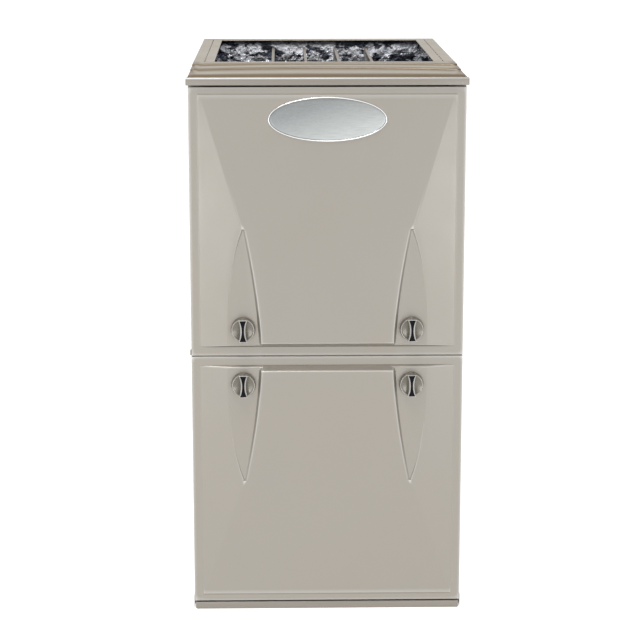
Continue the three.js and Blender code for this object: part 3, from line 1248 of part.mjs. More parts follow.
// Wires from the transformer up through the deck to the inducer motor.
function wireHarness() {
  const tray = CONTROL_RIGHT + SEAT;
  const low = CONTROL_BOTTOM + 60;
  const motorSide = INDUCER_X + INDUCER_MOTOR_RADIUS + SEAT;
  const motorMiddle = (MOTOR_FRONT + MOTOR_BACK) / 2 - 6;
  const path = [
    [tray, TRAY_FRONT - 7, low],
    [tray + 12, TRAY_FRONT - 7, low],
    [HARNESS_X - 12, HARNESS_DEPTH + 10, low + 14],
    [HARNESS_X - 1, HARNESS_DEPTH + 1, low + 48],
    [HARNESS_X, HARNESS_DEPTH, DECK_HEIGHT - 12],
    [HARNESS_X, HARNESS_DEPTH, DECK_HEIGHT + 14],
    [HARNESS_X - 2, HARNESS_DEPTH + 4, INDUCER_HEIGHT - 60],
    [HARNESS_X - 14, motorMiddle - 6, INDUCER_HEIGHT - 18],
    [HARNESS_X - 44, motorMiddle, INDUCER_HEIGHT],
    [motorSide + 10, motorMiddle, INDUCER_HEIGHT],
    [motorSide, motorMiddle, INDUCER_HEIGHT],
  ];
  return tube(path, HARNESS_RADIUS, 26, 6);
}

// ---------------------------------------------------------------- doors

// Both doors are the same pressing. Its own frame starts at the middle of the latch edge,
// with Z towards the far edge. The lower door is turned upside down.
const PANEL_HALF = DOOR_HALF - BORDER;

function crownHeight(u, farEdge) {
  const start = CROWN_RAMP_START + CROWN_HIGH / CROWN_RAMP_SLOPE;
  const t = THREE.MathUtils.clamp((u - start) / (farEdge - start), 0, 1);
  return CROWN_HIGH + (CROWN_LOW - CROWN_HIGH) * t;
}

// Half section of the pressing at a distance u from the latch edge: [x, height] points.
function doorSection(u, farEdge) {
  const tipHeight = crownHeight(POCKET_LENGTH, farEdge);
  const slope = (tipHeight - CROWN_LOW) / (PANEL_HALF - POCKET_TIP_X);
  const facet = (x) => CROWN_LOW + slope * (PANEL_HALF - x);
  const t = Math.min(u / POCKET_LENGTH, 1);
  let foot = POCKET_WALL_X + (POCKET_TIP_X - POCKET_WALL_X) * t ** WALL_CURVE;
  let outer = POCKET_OUTER_X - (POCKET_OUTER_X - POCKET_TIP_X) * t ** OUTER_CURVE;
  if (u > POCKET_LENGTH) {
    const rest = (u - POCKET_LENGTH) / (farEdge - POCKET_LENGTH);
    foot = POCKET_TIP_X + (PANEL_HALF - 2 * WALL_DRAFT - POCKET_TIP_X) * Math.min(rest, 1);
  }
  outer = Math.max(outer, foot + WALL_DRAFT / 2);
  const crown = crownHeight(u, farEdge);
  const floor = Math.min(facet(outer), crown);
  const lift = (height) => {
    const ramp = CROWN_RAMP_SLOPE * (u - CROWN_RAMP_START);
    const inside = u <= farEdge;
    return inside ? Math.max(0, Math.min(height, ramp)) : 0;
  };
  return [
    [0, lift(crown)],
    [foot - WALL_DRAFT, lift(crown)],
    [foot, lift(u > POCKET_LENGTH ? crown : floor)],
    [outer, lift(floor)],
    [PANEL_HALF, lift(CROWN_LOW)],
    [PANEL_HALF + 1, 0],
    [DOOR_HALF, 0],
  ];
}

// A pressed sheet through the sections, with its back one sheet behind its front.
function pressedSheet(distances, section) {
  const rows = distances.map((u) => {
    const half = section(u);
    const left = half.slice(1).map(([x, h]) => [-x, h]).reverse();
    return [...left, ...half];
  });
  const count = rows[0].length;
  const last = rows.length - 1;
  const positions = [];
  for (const back of [0, SHEET]) {
    rows.forEach((row, i) => row.forEach(([x, h]) => positions.push(x, back - h, distances[i])));
  }
  const at = (side, i, j) => (side * rows.length + i) * count + j;
  const index = [];
  const quad = (a, b, c, d) => index.push(a, b, c, a, c, d);
  for (let i = 0; i < last; i += 1) {
    for (let j = 0; j < count - 1; j += 1) {
      quad(at(0, i, j), at(0, i, j + 1), at(0, i + 1, j + 1), at(0, i + 1, j));
      quad(at(1, i, j), at(1, i + 1, j), at(1, i + 1, j + 1), at(1, i, j + 1));
    }
    quad(at(0, i, 0), at(0, i + 1, 0), at(1, i + 1, 0), at(1, i, 0));
    quad(at(0, i, count - 1), at(1, i, count - 1), at(1, i + 1, count - 1), at(0, i + 1, count - 1));
  }
  for (let j = 0; j < count - 1; j += 1) {
    quad(at(0, 0, j), at(1, 0, j), at(1, 0, j + 1), at(0, 0, j + 1));
    quad(at(0, last, j), at(0, last, j + 1), at(1, last, j + 1), at(1, last, j));
  }
  const geometry = new THREE.BufferGeometry();
  geometry.setAttribute('position', new THREE.Float32BufferAttribute(positions, 3));
  geometry.setIndex(index);
  return solid(geometry);
}

// Distances from the latch edge at which the pressing is given a section.
function doorRows(height) {
  const farEdge = height - BORDER;
  const rampEnd = CROWN_RAMP_START + CROWN_HIGH / CROWN_RAMP_SLOPE;
  const rampFloor = CROWN_RAMP_START + POCKET_RAMP / CROWN_RAMP_SLOPE;
  const pocket = POCKET_ROWS.map((t) => t * POCKET_LENGTH);
  const plain = PLAIN_ROWS.map((t) => POCKET_LENGTH + t * (farEdge - POCKET_LENGTH));
  return [0, CROWN_RAMP_START, rampFloor, rampEnd, ...pocket, ...plain, farEdge, farEdge + 1, height];
}

const KNOB_SHAFT_HOLE = SHAFT_RADIUS + SEAT;

function door(height) {
  const farEdge = height - BORDER;
  const skin = pressedSheet(doorRows(height), (u) => doorSection(u, farEdge));
  const frame = cut(
    box(-DOOR_HALF, DOOR_HALF, 0, DOOR_DEPTH, 0, height),
    box(-DOOR_HALF + SHEET, DOOR_HALF - SHEET, -1, DOOR_DEPTH + 1, SHEET, height - SHEET),
  );
  const hole = (x) => rod('y', KNOB_SHAFT_HOLE, -CROWN_HIGH, DOOR_DEPTH, x, KNOB_EDGE, 14);
  return cut(join(skin, frame), hole(-KNOB_X), hole(KNOB_X));
}

function knobClearances(y0, y1) {
  return [-KNOB_X, KNOB_X].map((x) => rod('y', SHAFT_RADIUS + LATCH_SLOT_MARGIN, y0, y1, x, KNOB_EDGE, 16));
}

function upperDoorLiner() {
  const half = DOOR_HALF - LINER_INSET;
  const front = SHEET + SEAT;
  const back = front + UPPER_LINER_THICKNESS;
  const slab = box(-half, half, front, back, LINER_INSET, UPPER_DOOR_HEIGHT - LINER_INSET);
  return cut(slab, ...knobClearances(front - 1, back + 1));
}

function lowerDoorLiner() {
  const half = DOOR_HALF - SHEET - SEAT;
  const edge = SHEET + SEAT;
  const sheet = box(-half, half, LOWER_LINER_DEPTH, LOWER_LINER_BACK, edge, LOWER_DOOR_HEIGHT - edge);
  return cut(sheet, ...knobClearances(LOWER_LINER_DEPTH - 1, LOWER_LINER_BACK + 1));
}

// Depth of the pocket's floor in front of the door's border, where the knob sits.
function knobSeat(height) {
  const section = doorSection(KNOB_EDGE, height - BORDER);
  return section[3][1] + SEAT;
}

// Knob centred on its axis: a rim, a body, and two scoops that leave a waisted grip.
function knob(seat) {
  const rimFront = -seat - KNOB_RIM;
  const scoopBottom = -KNOB_PROUD + KNOB_SCOOP_DEPTH;
  const rim = rod('y', KNOB_RADIUS, rimFront, -seat, 0, 0, 24);
  const body = rod('y', KNOB_BODY_RADIUS, scoopBottom, rimFront + 1, 0, 0, 24);
  const end = KNOB_GRIP_LENGTH / 2;
  const right = [];
  for (let i = 0; i <= 6; i += 1) {
    const t = i / 3 - 1;
    const half = (KNOB_GRIP_WAIST + (KNOB_GRIP_END - KNOB_GRIP_WAIST) * t * t) / 2;
    right.push([half, t * end]);
  }
  const outline = [...right, ...right.map(([x, z]) => [-x, z]).reverse()];
  const grip = prismY(outline, -KNOB_PROUD, scoopBottom + 1);
  return join(rim, body, grip);
}

// Shaft and crossbar of a knob. The bar stands upright when the latch is free.
function latch(seat) {
  const barFront = RAIL_BACK + LATCH_REACH;
  const barBack = barFront + LATCH_BAR_THICKNESS;
  const shaft = rod('y', SHAFT_RADIUS, -seat + SEAT, barBack, 0, 0, 14);
  const bar = box(
    -LATCH_BAR_WIDTH / 2,
    LATCH_BAR_WIDTH / 2,
    barFront,
    barBack,
    -LATCH_BAR_LENGTH / 2,
    LATCH_BAR_LENGTH / 2,
  );
  return join(shaft, bar);
}

// Oval badge on the upper door, tilted to lie on the pressed panel.
function badge(group) {
  const farEdge = UPPER_DOOR_HEIGHT - BORDER;
  const u = BADGE_HEIGHT - UPPER_DOOR_BOTTOM;
  const height = crownHeight(u, farEdge);
  const drop = crownHeight(u - 1, farEdge) - height;
  const inner = ellipse(BADGE_LONG - BADGE_RIM_WIDTH, BADGE_SHORT - BADGE_RIM_WIDTH, BADGE_STEPS);
  const rim = cut(
    prismY(ellipse(BADGE_LONG, BADGE_SHORT, BADGE_STEPS), -BADGE_RIM_THICKNESS, 0),
    prismY(inner, -BADGE_RIM_THICKNESS - 1, 1),
  );
  const room = BADGE_RIM_WIDTH + SEAT;
  const oval = ellipse(BADGE_LONG - room, BADGE_SHORT - room, BADGE_STEPS);
  const plate = prismY(oval, -BADGE_PLATE_THICKNESS, 0);
  group.position.set(0, -height - SEAT, BADGE_HEIGHT);
  group.rotation.x = -Math.atan(drop);
  piece('badge_rim', rim, 'bright', [0, 0, 0], group);
  piece('badge_plate', plate, 'aluminium', [0, 0, 0], group);
  cabinet.add(group);
}

// ---------------------------------------------------------------- assembly

piece('side_panel_left', sidePanel(-1), 'paint');
piece('side_panel_right', sidePanel(1), 'paint');
piece('back_panel', backPanel(), 'paint');
piece('top_plate', topPlate(), 'paint');
piece('base_strip', baseStrip(), 'paint');
piece('bottom_closure_panel', bottomClosurePanel(), 'galvanised');
piece('center_rail', centerRail(), 'paint');
piece('blower_deck', blowerDeck(), 'galvanised');
piece('cell_panel', cellPanel(), 'galvanised');
piece('foil_liner', foilLiner(), 'foil');

const cell = heatExchangerCell();
CELL_XS.forEach((x, i) => {
  piece(`heat_exchanger_cell_${i + 1}`, cell, 'aluminised', [x, CELL_FRONT, 0]);
});
piece('secondary_coil', secondaryCoil(), 'aluminium');

piece('coupling_box', couplingBox(), 'blackPlastic');
piece('inducer_housing', inducerHousing(), 'blackPlastic');
piece('inducer_motor', inducerMotor(), 'blackPaint');
piece('inducer_wheel', inducerWheel(), 'greyPlastic', [INDUCER_X, 0, INDUCER_HEIGHT]);
piece('inducer_cooling_fan', inducerCoolingFan(), 'greyPlastic', [INDUCER_X, 0, INDUCER_HEIGHT]);
piece('vent_pipe', ventPipe(), 'greyPlastic');

piece('burner_box', burnerBox(), 'galvanised');
piece('burners', burners(), 'steel');
piece('gas_manifold', gasManifold(), 'blackPaint');
piece('gas_valve', gasValve(), 'castGrey');
const gasKnobSeat = [VALVE_X, VALVE_FRONT - GAS_BOSS - SEAT, GAS_KNOB_HEIGHT];
piece('gas_valve_knob', gasValveKnob(), 'blackPlastic', gasKnobSeat);
piece('gas_inlet_pipe', gasInletPipe(), 'blackPaint');
piece('igniter', igniter(), 'ceramic');
piece('flame_sensor', flameSensor(), 'ceramic');
piece('rollout_switches', rolloutSwitches(), 'blackPlastic');
piece('limit_switch', limitSwitch(), 'blackPlastic');
piece('pressure_switch', pressureSwitch(), 'greyPlastic');
piece('condensate_trap', condensateTrap(), 'greyPlastic');
piece('condensate_hose', condensateHose(), 'rubber');

piece('blower_housing', blowerHousing(), 'galvanised');
piece('blower_wheel', blowerWheel(), 'galvanised', [0, BLOWER_DEPTH, BLOWER_HEIGHT]);
piece('blower_wheel_hub', blowerWheelHub(), 'steel', [0, BLOWER_DEPTH, BLOWER_HEIGHT]);
piece('blower_motor', blowerMotor(), 'blackPaint');
piece('motor_mount', motorMount(), 'zinc');
piece('control_box', controlBox(), 'galvanised');
piece('control_board', controlBoard(), 'board');
piece('transformer', transformer(), 'blackPaint');
piece('door_switch', doorSwitch(), 'blackPlastic');
piece('door_switch_button', doorSwitchButton(), 'greyPlastic');
piece('wire_harness', wireHarness(), 'rubber');

const upperFrame = new THREE.Group();
upperFrame.position.z = UPPER_DOOR_BOTTOM;
const lowerFrame = new THREE.Group();
lowerFrame.position.z = LOWER_DOOR_TOP;
lowerFrame.rotation.y = Math.PI;
cabinet.add(upperFrame, lowerFrame);

piece('upper_door', door(UPPER_DOOR_HEIGHT), 'paint', [0, 0, 0], upperFrame);
piece('upper_door_liner', upperDoorLiner(), 'insulation', [0, 0, 0], upperFrame);
piece('lower_door', door(LOWER_DOOR_HEIGHT), 'paint', [0, 0, 0], lowerFrame);
piece('lower_door_liner', lowerDoorLiner(), 'galvanised', [0, 0, 0], lowerFrame);
badge(new THREE.Group());

for (const [row, height, z] of [
  ['upper', UPPER_DOOR_HEIGHT, UPPER_KNOB_HEIGHT],
  ['lower', LOWER_DOOR_HEIGHT, LOWER_KNOB_HEIGHT],
]) {
  const seat = knobSeat(height);
  const knobBody = knob(seat);
  const latchBody = latch(seat);
  for (const [side, x] of [['left', -KNOB_X], ['right', KNOB_X]]) {
    piece(`knob_${row}_${side}`, knobBody, 'nickel', [x, 0, z]);
    piece(`latch_${row}_${side}`, latchBody, 'steel', [x, 0, z]);
  }
}

const furnace = new THREE.Group();
furnace.name = 'forced_air_gas_furnace';
furnace.add(cabinet);

export default furnace;
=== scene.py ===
# Forced air gas furnace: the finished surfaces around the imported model.
# Metres. X points right, Y from the front to the back, Z up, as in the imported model.

import json
import math

import bmesh
import bpy
from mathutils import Matrix, Vector, noise


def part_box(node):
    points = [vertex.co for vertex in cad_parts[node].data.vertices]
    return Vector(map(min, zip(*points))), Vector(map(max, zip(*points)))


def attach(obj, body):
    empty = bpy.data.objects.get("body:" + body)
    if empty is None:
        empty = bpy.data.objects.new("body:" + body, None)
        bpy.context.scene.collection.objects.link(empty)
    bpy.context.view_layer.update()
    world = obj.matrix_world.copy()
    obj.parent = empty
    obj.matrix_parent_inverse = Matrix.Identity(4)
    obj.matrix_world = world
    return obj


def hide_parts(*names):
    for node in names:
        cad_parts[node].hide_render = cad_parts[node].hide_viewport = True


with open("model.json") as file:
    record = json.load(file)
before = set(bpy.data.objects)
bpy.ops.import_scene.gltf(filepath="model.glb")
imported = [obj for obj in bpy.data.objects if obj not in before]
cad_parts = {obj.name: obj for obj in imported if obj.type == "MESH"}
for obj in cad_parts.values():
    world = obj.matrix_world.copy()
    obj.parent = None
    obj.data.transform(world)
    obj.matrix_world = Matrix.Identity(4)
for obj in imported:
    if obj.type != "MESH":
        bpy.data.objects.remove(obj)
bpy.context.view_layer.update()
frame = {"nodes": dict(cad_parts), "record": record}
NODES = frame["nodes"]
MM = 0.001

# ---------------------------------------------------------------- places read from the frame


def box_mm(node):
    """Lowest and highest corner of a node, in millimetres."""
    low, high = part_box(node)
    return low / MM, high / MM


UPPER_LOW, UPPER_HIGH = box_mm("upper_door")
LOWER_LOW, LOWER_HIGH = box_mm("lower_door")
TOP_LOW, TOP_HIGH = box_mm("top_plate")
SIDE_LOW, SIDE_HIGH = box_mm("side_panel_left")
SILL_LOW, SILL_HIGH = box_mm("base_strip")
LINER_LOW, LINER_HIGH = box_mm("foil_liner")
RIM_LOW, RIM_HIGH = box_mm("badge_rim")

# ---------------------------------------------------------------- sizes, in millimetres

SHEET = 1.2
HALF_WIDTH = -SIDE_LOW.x
CASE_HEIGHT = SIDE_HIGH.z
REAR = box_mm("back_panel")[1].y

# Doors: the same pressing, with u measured from the latch edge
DOOR_HALF = UPPER_HIGH.x
DOOR_DEPTH = 24
FRONT = UPPER_HIGH.y - DOOR_DEPTH  # plane of the doors' flat border
BORDER = 12.8
SIDE_BORDER = 15.2
PANEL_HALF = DOOR_HALF - SIDE_BORDER
CROWN_HIGH = 13
CROWN_LOW = 0.5
RAMP_START = 14.5
RAMP_SLOPE = 1.75
RAMP_BLEND = 2.6  # rounding where the ramp meets the pressing
POCKET_LENGTH = 209
POCKET_TIP = 136
POCKET_WALL = 109.5
POCKET_OUTER = 161
POCKET_RECESS = 2.2  # depth of the pocket's floor below the side faces, at its tip
POCKET_LIP = 1.2
TIP_ROUND = 3.5
PANEL_STEP = 1.2  # width of the step from the pressing down to the border
WALL_CURVE = 1.6
OUTER_CURVE = 3.2
WALL_DRAFT = 3
CROWN_CORNER = 6  # rounding of the crown's corners at the latch edge
EDGE_BEND = 0.7  # rounding of the door's own edges
SECTION_BENDS = (0, 2.0, 1.6, 1.5, 1.5, 0.7, 0.6, 0)  # rounding at each corner of the section
SECTION_PARTS = {0: 10, 12: 4, 24: 6, 36: 3}  # spans of the section that are divided, and into how many

# Top plate and band
STEP_RISE = 1.75
STEP_ONE = (127, 36)  # depth at the sides, and how much further back in the middle
STEP_TWO = (197, 24)
STEP_WIDTH = 1.6
PLATE_TOP = CASE_HEIGHT - 2 * STEP_RISE
OUTLET_FRONT = TOP_HIGH.y - FRONT
OUTLET_LIP = 9
BAND_PROUD = 4
BAND_WRAP = 10
BAND_HEM = 6
BAND_BOTTOM = TOP_LOW.z

# Sill, and the ears beside the corners of the lower door
SILL_GAP = 2
SILL_INSET = 2.75
SILL_CORNER = 2.4
SILL_CORNER_BEND = 0.7
EAR_GAP = 0.3
EAR_FOOT = 1
EAR_FRONT = 4
EAR_REAR = 20

# Badge
BADGE_SEAT = 0.3  # height of the rim's foot above the crown
RIM_RADIUS = 1.15
RIM_WALL = 1.2
RIM_DOME = 1.4
PLATE_INSET = 2.6
PLATE_EDGE = 0.9
PLATE_FACE = 1.05
PLATE_RING = 4.0  # step of the rings that dome the plate
PLATE_DOME = 0.35

# Foil over the insulation of the outlet
FOIL_SET_BACK = 8
FOIL_FOLD = 5  # depth of its folds
FOIL_PITCH_SIDE = 4
FOIL_PITCH_REAR = 3

# Screws, knock-outs, and what shows in the doors' seam
SCREW_INSET = 14
KNOCK_OUTS = (  # depth, height and radius of each
    (60, 640, 11),
    (60, 600, 11),
    (95, 560, 20),
    (60, 350, 11),
    (95, 470, 15),
)
STRIP_CLEARANCE = 0.5
STRIP_SET_BACK = 0.9
CLIP_FRONT = 2
CLIP_REAR = 12
CLIP_HEIGHT = 8
CLIP_REACH = 1.3  # how far it stands out past the side

# Knobs
KNOB_X = 136.8
KNOB_EDGE = 45
KNOB_RADIUS = 19.8
GRIP_LENGTH = 37
GRIP_END = 15
GRIP_WAIST = 8.4
GRIP_CORNER = 2.4
INSERT_LENGTH = 34.4
INSERT_END = 11.4
INSERT_WAIST = 3.6
INSERT_CORNER = 1.5
KNOB_RIM = 2.8
DISH_DEPTH = 2.6

# ---------------------------------------------------------------- camera

CAMERA_PLACE = (-0.0739, -3.5319, 1.1922)
CAMERA_PITCH = 12.429  # degrees below the horizontal
CAMERA_YAW = 1.119  # degrees to the right
LENS = 112.55


def make_camera():
    """Camera in front and a little above, at the photograph's viewing angle."""
    data = bpy.data.cameras.new("camera")
    data.sensor_width = 36
    data.lens = LENS
    camera = bpy.data.objects.new("camera", data)
    camera.location = CAMERA_PLACE
    camera.rotation_euler = (math.pi / 2 - math.radians(CAMERA_PITCH), 0, -math.radians(CAMERA_YAW))
    bpy.context.scene.collection.objects.link(camera)
    bpy.context.scene.camera = camera


make_camera()

# ---------------------------------------------------------------- material nodes


class Surface:
    """A material with one Principled shader, and short calls for the nodes behind it."""

    def __init__(self, name, color, roughness, metallic=0.0, **sockets):
        self.material = bpy.data.materials.new(name)
        self.material.use_nodes = True
        self.nodes = self.material.node_tree.nodes
        self.links = self.material.node_tree.links
        self.shader = self.nodes["Principled BSDF"]
        self.color = color
        self.roughness = roughness
        self.set("Base Color", (*color, 1))
        self.set("Roughness", roughness)
        self.set("Metallic", metallic)
        for socket, value in sockets.items():
            self.set(socket.replace("_", " ").title().replace("Ior", "IOR"), value)
        self.coordinates = self.add("ShaderNodeTexCoord").outputs["Object"]

    def set(self, socket, value):
        self.shader.inputs[socket].default_value = value

    def add(self, kind, **settings):
        node = self.nodes.new(kind)
        for name, value in settings.items():
            setattr(node, name, value)
        return node

    def plug(self, source, target):
        self.links.new(source, target)

    def stretched(self, scale):
        """Object coordinates, scaled differently along each axis."""
        node = self.add("ShaderNodeMapping")
        node.inputs["Scale"].default_value = scale
        self.plug(self.coordinates, node.inputs["Vector"])
        return node.outputs["Vector"]

    def noise(self, scale, detail=3.0, rough=0.5, vector=None):
        node = self.add("ShaderNodeTexNoise")
        node.inputs["Scale"].default_value = scale
        node.inputs["Detail"].default_value = detail
        node.inputs["Roughness"].default_value = rough
        self.plug(vector or self.coordinates, node.inputs["Vector"])
        return node.outputs["Fac"]

    def cells(self, scale, feature="F1", vector=None, output="Distance"):
        node = self.add("ShaderNodeTexVoronoi", feature=feature)
        node.inputs["Scale"].default_value = scale
        self.plug(vector or self.coordinates, node.inputs["Vector"])
        return node.outputs[output]

    def ramp(self, value, low, high, to_low=0.0, to_high=1.0):
        node = self.add("ShaderNodeMapRange")
        node.clamp = True
        limits = {"From Min": low, "From Max": high, "To Min": to_low, "To Max": to_high}
        for name, number in limits.items():
            node.inputs[name].default_value = number
        self.plug(value, node.inputs["Value"])
        return node.outputs["Result"]

    def times(self, a, b):
        node = self.add("ShaderNodeMath", operation="MULTIPLY")
        self.plug(a, node.inputs[0])
        if isinstance(b, (int, float)):
            node.inputs[1].default_value = b
        else:
            self.plug(b, node.inputs[1])
        return node.outputs[0]

    def plus(self, a, b):
        node = self.add("ShaderNodeMath", operation="ADD")
        self.plug(a, node.inputs[0])
        self.plug(b, node.inputs[1])
        return node.outputs[0]

    def tint(self, factor, color, blend="MIX"):
        """Mixes a colour over what the base colour is so far."""
        node = self.add("ShaderNodeMix", data_type="RGBA", blend_type=blend)
        self.plug(factor, node.inputs["Factor"])
        socket = self.shader.inputs["Base Color"]
        if socket.is_linked:
            self.plug(socket.links[0].from_socket, node.inputs["A"])
        else:
            node.inputs["A"].default_value = socket.default_value
        node.inputs["B"].default_value = (*color, 1)
        self.plug(node.outputs["Result"], socket)

    def rough(self, value, spread):
        """Roughness that varies around its middle with a 0 to 1 value."""
        low, high = self.roughness - spread, self.roughness + spread
        self.plug(self.ramp(value, 0.3, 0.7, low, high), self.shader.inputs["Roughness"])

    def bump(self, height, distance, strength=1.0):
        node = self.add("ShaderNodeBump")
        node.inputs["Distance"].default_value = distance
        node.inputs["Strength"].default_value = strength
        self.plug(height, node.inputs["Height"])
        socket = self.shader.inputs["Normal"]
        if socket.is_linked:
            self.plug(socket.links[0].from_socket, node.inputs["Normal"])
        self.plug(node.outputs["Normal"], socket)

    def creased(self, low, high, color):
        """Tints where the surface bends: concave below a pointiness of 0.5, convex above it."""
        geometry = self.add("ShaderNodeNewGeometry")
        self.tint(self.ramp(geometry.outputs["Pointiness"], low, high), color)

    def position(self, axis):
        """Place along an axis, in metres."""
        split = self.add("ShaderNodeSeparateXYZ")
        self.plug(self.coordinates, split.inputs["Vector"])
        return split.outputs[axis]

    def along(self, axis, low, high, to_low=0.0, to_high=1.0):
        """Factor that grows from one place to another along an axis, in millimetres."""
        return self.ramp(self.position(axis), low * MM, high * MM, to_low, to_high)

    def edge_wear_and_sheen(self, color, amount):
        """Lightens the convex edges a little, in patches: partly edge wear and partly a painted highlight."""
        geometry = self.add("ShaderNodeNewGeometry")
        edge = self.ramp(geometry.outputs["Pointiness"], 0.53, 0.6)
        patches = self.ramp(self.noise(60, 4), 0.4, 0.65)
        self.tint(self.times(self.times(edge, patches), amount), color)


def paint(name, color):
    """Warm grey metallic paint: fine flakes and slight orange peel."""
    s = Surface(name, color, 0.37, 0.45, specular_ior_level=0.35)
    light = tuple(1.25 * c for c in color)
    warm = (1.02 * color[0], 0.98 * color[1], 0.95 * color[2])
    s.tint(s.ramp(s.noise(2600, 2), 0.4, 0.75, 0, 0.3), light)
    s.tint(s.ramp(s.noise(5, 3), 0.35, 0.7, 0, 0.4), warm)
    s.rough(s.noise(14, 4), 0.03)
    s.bump(s.noise(420, 2), 0.00003, 0.35)
    return s


def casing_paint():
    """Paint of the sides and back: painted shade on the flanges at the top, in the top plate's darker browner
    copy of the paint, and convex edges lightened in patches, partly wear and partly painted highlight.
    """
    s = paint("cabinet_paint", PAINT_COLOR)
    # painted shade: the top 2 mm of the flanges take the darker, browner top colour
    s.tint(s.along("Z", CASE_HEIGHT - 2, CASE_HEIGHT - 1), TOP_SHADED_COLOR)
    # convex edges lightened in patches: partly worn paint, partly painted highlight
    s.edge_wear_and_sheen(EDGE_WEAR_AND_HIGHLIGHT, 0.4)
    return s.material


def door_shade_and_highlight_paint():
    """Paint of the pressed doors, with painted shade darkening their creases and a painted highlight
    lightening their convex edges.
    """
    s = paint("door_shade_and_highlight_paint", PAINT_COLOR)
    # painted shade: near black in the concave creases
    s.creased(0.492, 0.45, DOOR_CREASE_SHADE)
    # painted highlight: light colour on the convex edges
    s.creased(0.506, 0.535, EDGE_WEAR_AND_HIGHLIGHT)
    return s.material


def band_shade_and_highlight_paint():
    """Paint of the band: a darker copy of the paint as painted shade, with a painted highlight along its
    upper edge, strongest on the left.
    """
    s = paint("band_shade_and_highlight_paint", SHADED_PAINT_COLOR)
    # painted highlight: light colour along the upper front edge, fading from left to right
    edge = s.times(s.along("Z", PLATE_TOP - 2.0, PLATE_TOP - 1.0), s.along("Y", FRONT + 2, FRONT))
    s.tint(s.times(edge, s.along("X", 0, HALF_WIDTH, 0.95, 0.35)), (0.84, 0.85, 0.84))
    return s.material


def top_shaded_paint():
    """Paint of the top plate: a darker, browner copy of the paint as painted shade, with painted shade in
    brown on the creases and risers of its steps.
    """
    s = paint("top_shaded_paint", TOP_SHADED_COLOR)
    # painted shade: brown on the concave creases and the convex risers of the steps
    s.creased(0.495, 0.47, TOP_STEP_SHADE)
    s.creased(0.505, 0.54, TOP_STEP_SHADE)
    return s.material


def galvanised():
    """Zinc-coated sheet with its spangle."""
    s = Surface("galvanised_sheet", (0.42, 0.44, 0.45), 0.36, 0.85)
    spangle = s.cells(90, output="Color")
    shade = s.add("ShaderNodeSeparateColor")
    s.plug(spangle, shade.inputs["Color"])
    s.tint(s.times(shade.outputs["Red"], 0.45), (0.60, 0.62, 0.64))
    s.rough(s.noise(120, 3), 0.07)
    s.bump(s.noise(300, 3), 0.00004, 0.4)
    s.edge_wear_and_sheen((0.25, 0.25, 0.25), 0.4)
    return s.material


def foil():
    """Aluminium foil: a bluish mirror, with painted shade and dark painted reflections in patches over its
    folds and in small creases between the modelled ones, and a painted shadow along its top.
    """
    s = Surface("crumpled_foil", (0.92, 0.94, 1.0), 0.12, 1.0)
    folds = s.noise(38, 4, 0.6, s.stretched((1, 1, 1.6)))
    creases = s.noise(110, 5, 0.65)
    # painted shade and dark painted reflections: near-black patches over the folds
    s.tint(s.ramp(folds, 0.53, 0.47, 0, 0.95), (0.012, 0.015, 0.028))
    # painted shade: bluish dark in the fine creases
    s.tint(s.ramp(creases, 0.35, 0.5, 0.4, 0), (0.14, 0.17, 0.25))
    # painted shadow: the foil turns near black along its top edge
    top_shadow_height = s.plus(s.position("Z"), s.times(folds, 14 * MM))
    s.tint(s.ramp(top_shadow_height, (LINER_HIGH.z - 6) * MM, (LINER_HIGH.z + 1) * MM, 0, 0.9), (0.010, 0.012, 0.018))
    s.rough(creases, 0.06)
    s.bump(creases, 0.0022, 0.9)
    s.bump(s.cells(55, "DISTANCE_TO_EDGE"), 0.001, 0.5)
    return s.material


def aluminised(seam_height):
    """Aluminised steel of the heat exchanger, straw-coloured along its crimped top seam."""
    s = Surface("aluminised_steel", (0.36, 0.35, 0.335), 0.34, 0.85)
    stain = s.noise(26, 4)
    s.tint(s.ramp(stain, 0.45, 0.75, 0, 0.5), (0.26, 0.21, 0.17))
    s.tint(s.along("Z", seam_height - 12, seam_height - 5), (0.17, 0.135, 0.095))
    s.rough(s.noise(80, 3), 0.08)
    s.bump(s.noise(160, 4), 0.00015, 0.5)
    return s.material


def fins():
    """Bright mill-finish fins."""
    s = Surface("coil_fins", (0.55, 0.56, 0.57), 0.3, 0.95)
    lines = s.noise(60, 3, vector=s.stretched((1, 40, 1)))
    s.tint(s.ramp(lines, 0.35, 0.65, 0, 0.4), (0.38, 0.39, 0.40))
    s.rough(lines, 0.06)
    s.bump(lines, 0.0002, 0.4)
    return s.material


def brushed_aluminium():
    """Badge plate, brushed from side to side, with a painted reflection that grows lighter towards its lower
    right.
    """
    s = Surface("badge_aluminium", (0.26, 0.268, 0.265), 0.36, 0.9, anisotropic=0.5)
    across = s.along("X", RIM_LOW.x, RIM_HIGH.x)
    down = s.along("Z", RIM_HIGH.z, RIM_LOW.z)
    # painted reflection: lighter towards the lower right
    s.tint(s.ramp(s.plus(across, down), 0.6, 1.5), (0.52, 0.53, 0.515))
    strokes = s.noise(40, 6, 0.7, s.stretched((1.2, 60, 60)))
    fine = s.noise(160, 3, 0.6, s.stretched((1, 60, 60)))
    s.tint(s.ramp(strokes, 0.38, 0.62, 0, 0.5), (0.24, 0.25, 0.245))
    s.tint(s.ramp(fine, 0.45, 0.68, 0, 0.4), (0.58, 0.59, 0.58))
    s.rough(strokes, 0.08)
    s.bump(fine, 0.00004, 0.5)
    return s.material


def bright_metal():
    """Polished rim of the badge, with faint rubbing marks."""
    s = Surface("bright_trim", (0.86, 0.87, 0.87), 0.09, 1.0)
    rubs = s.noise(700, 4, vector=s.stretched((0.2, 1, 1)))
    s.tint(s.ramp(rubs, 0.4, 0.8, 0, 0.25), (0.70, 0.71, 0.71))
    s.rough(rubs, 0.03)
    s.bump(rubs, 0.00001, 0.3)
    return s.material


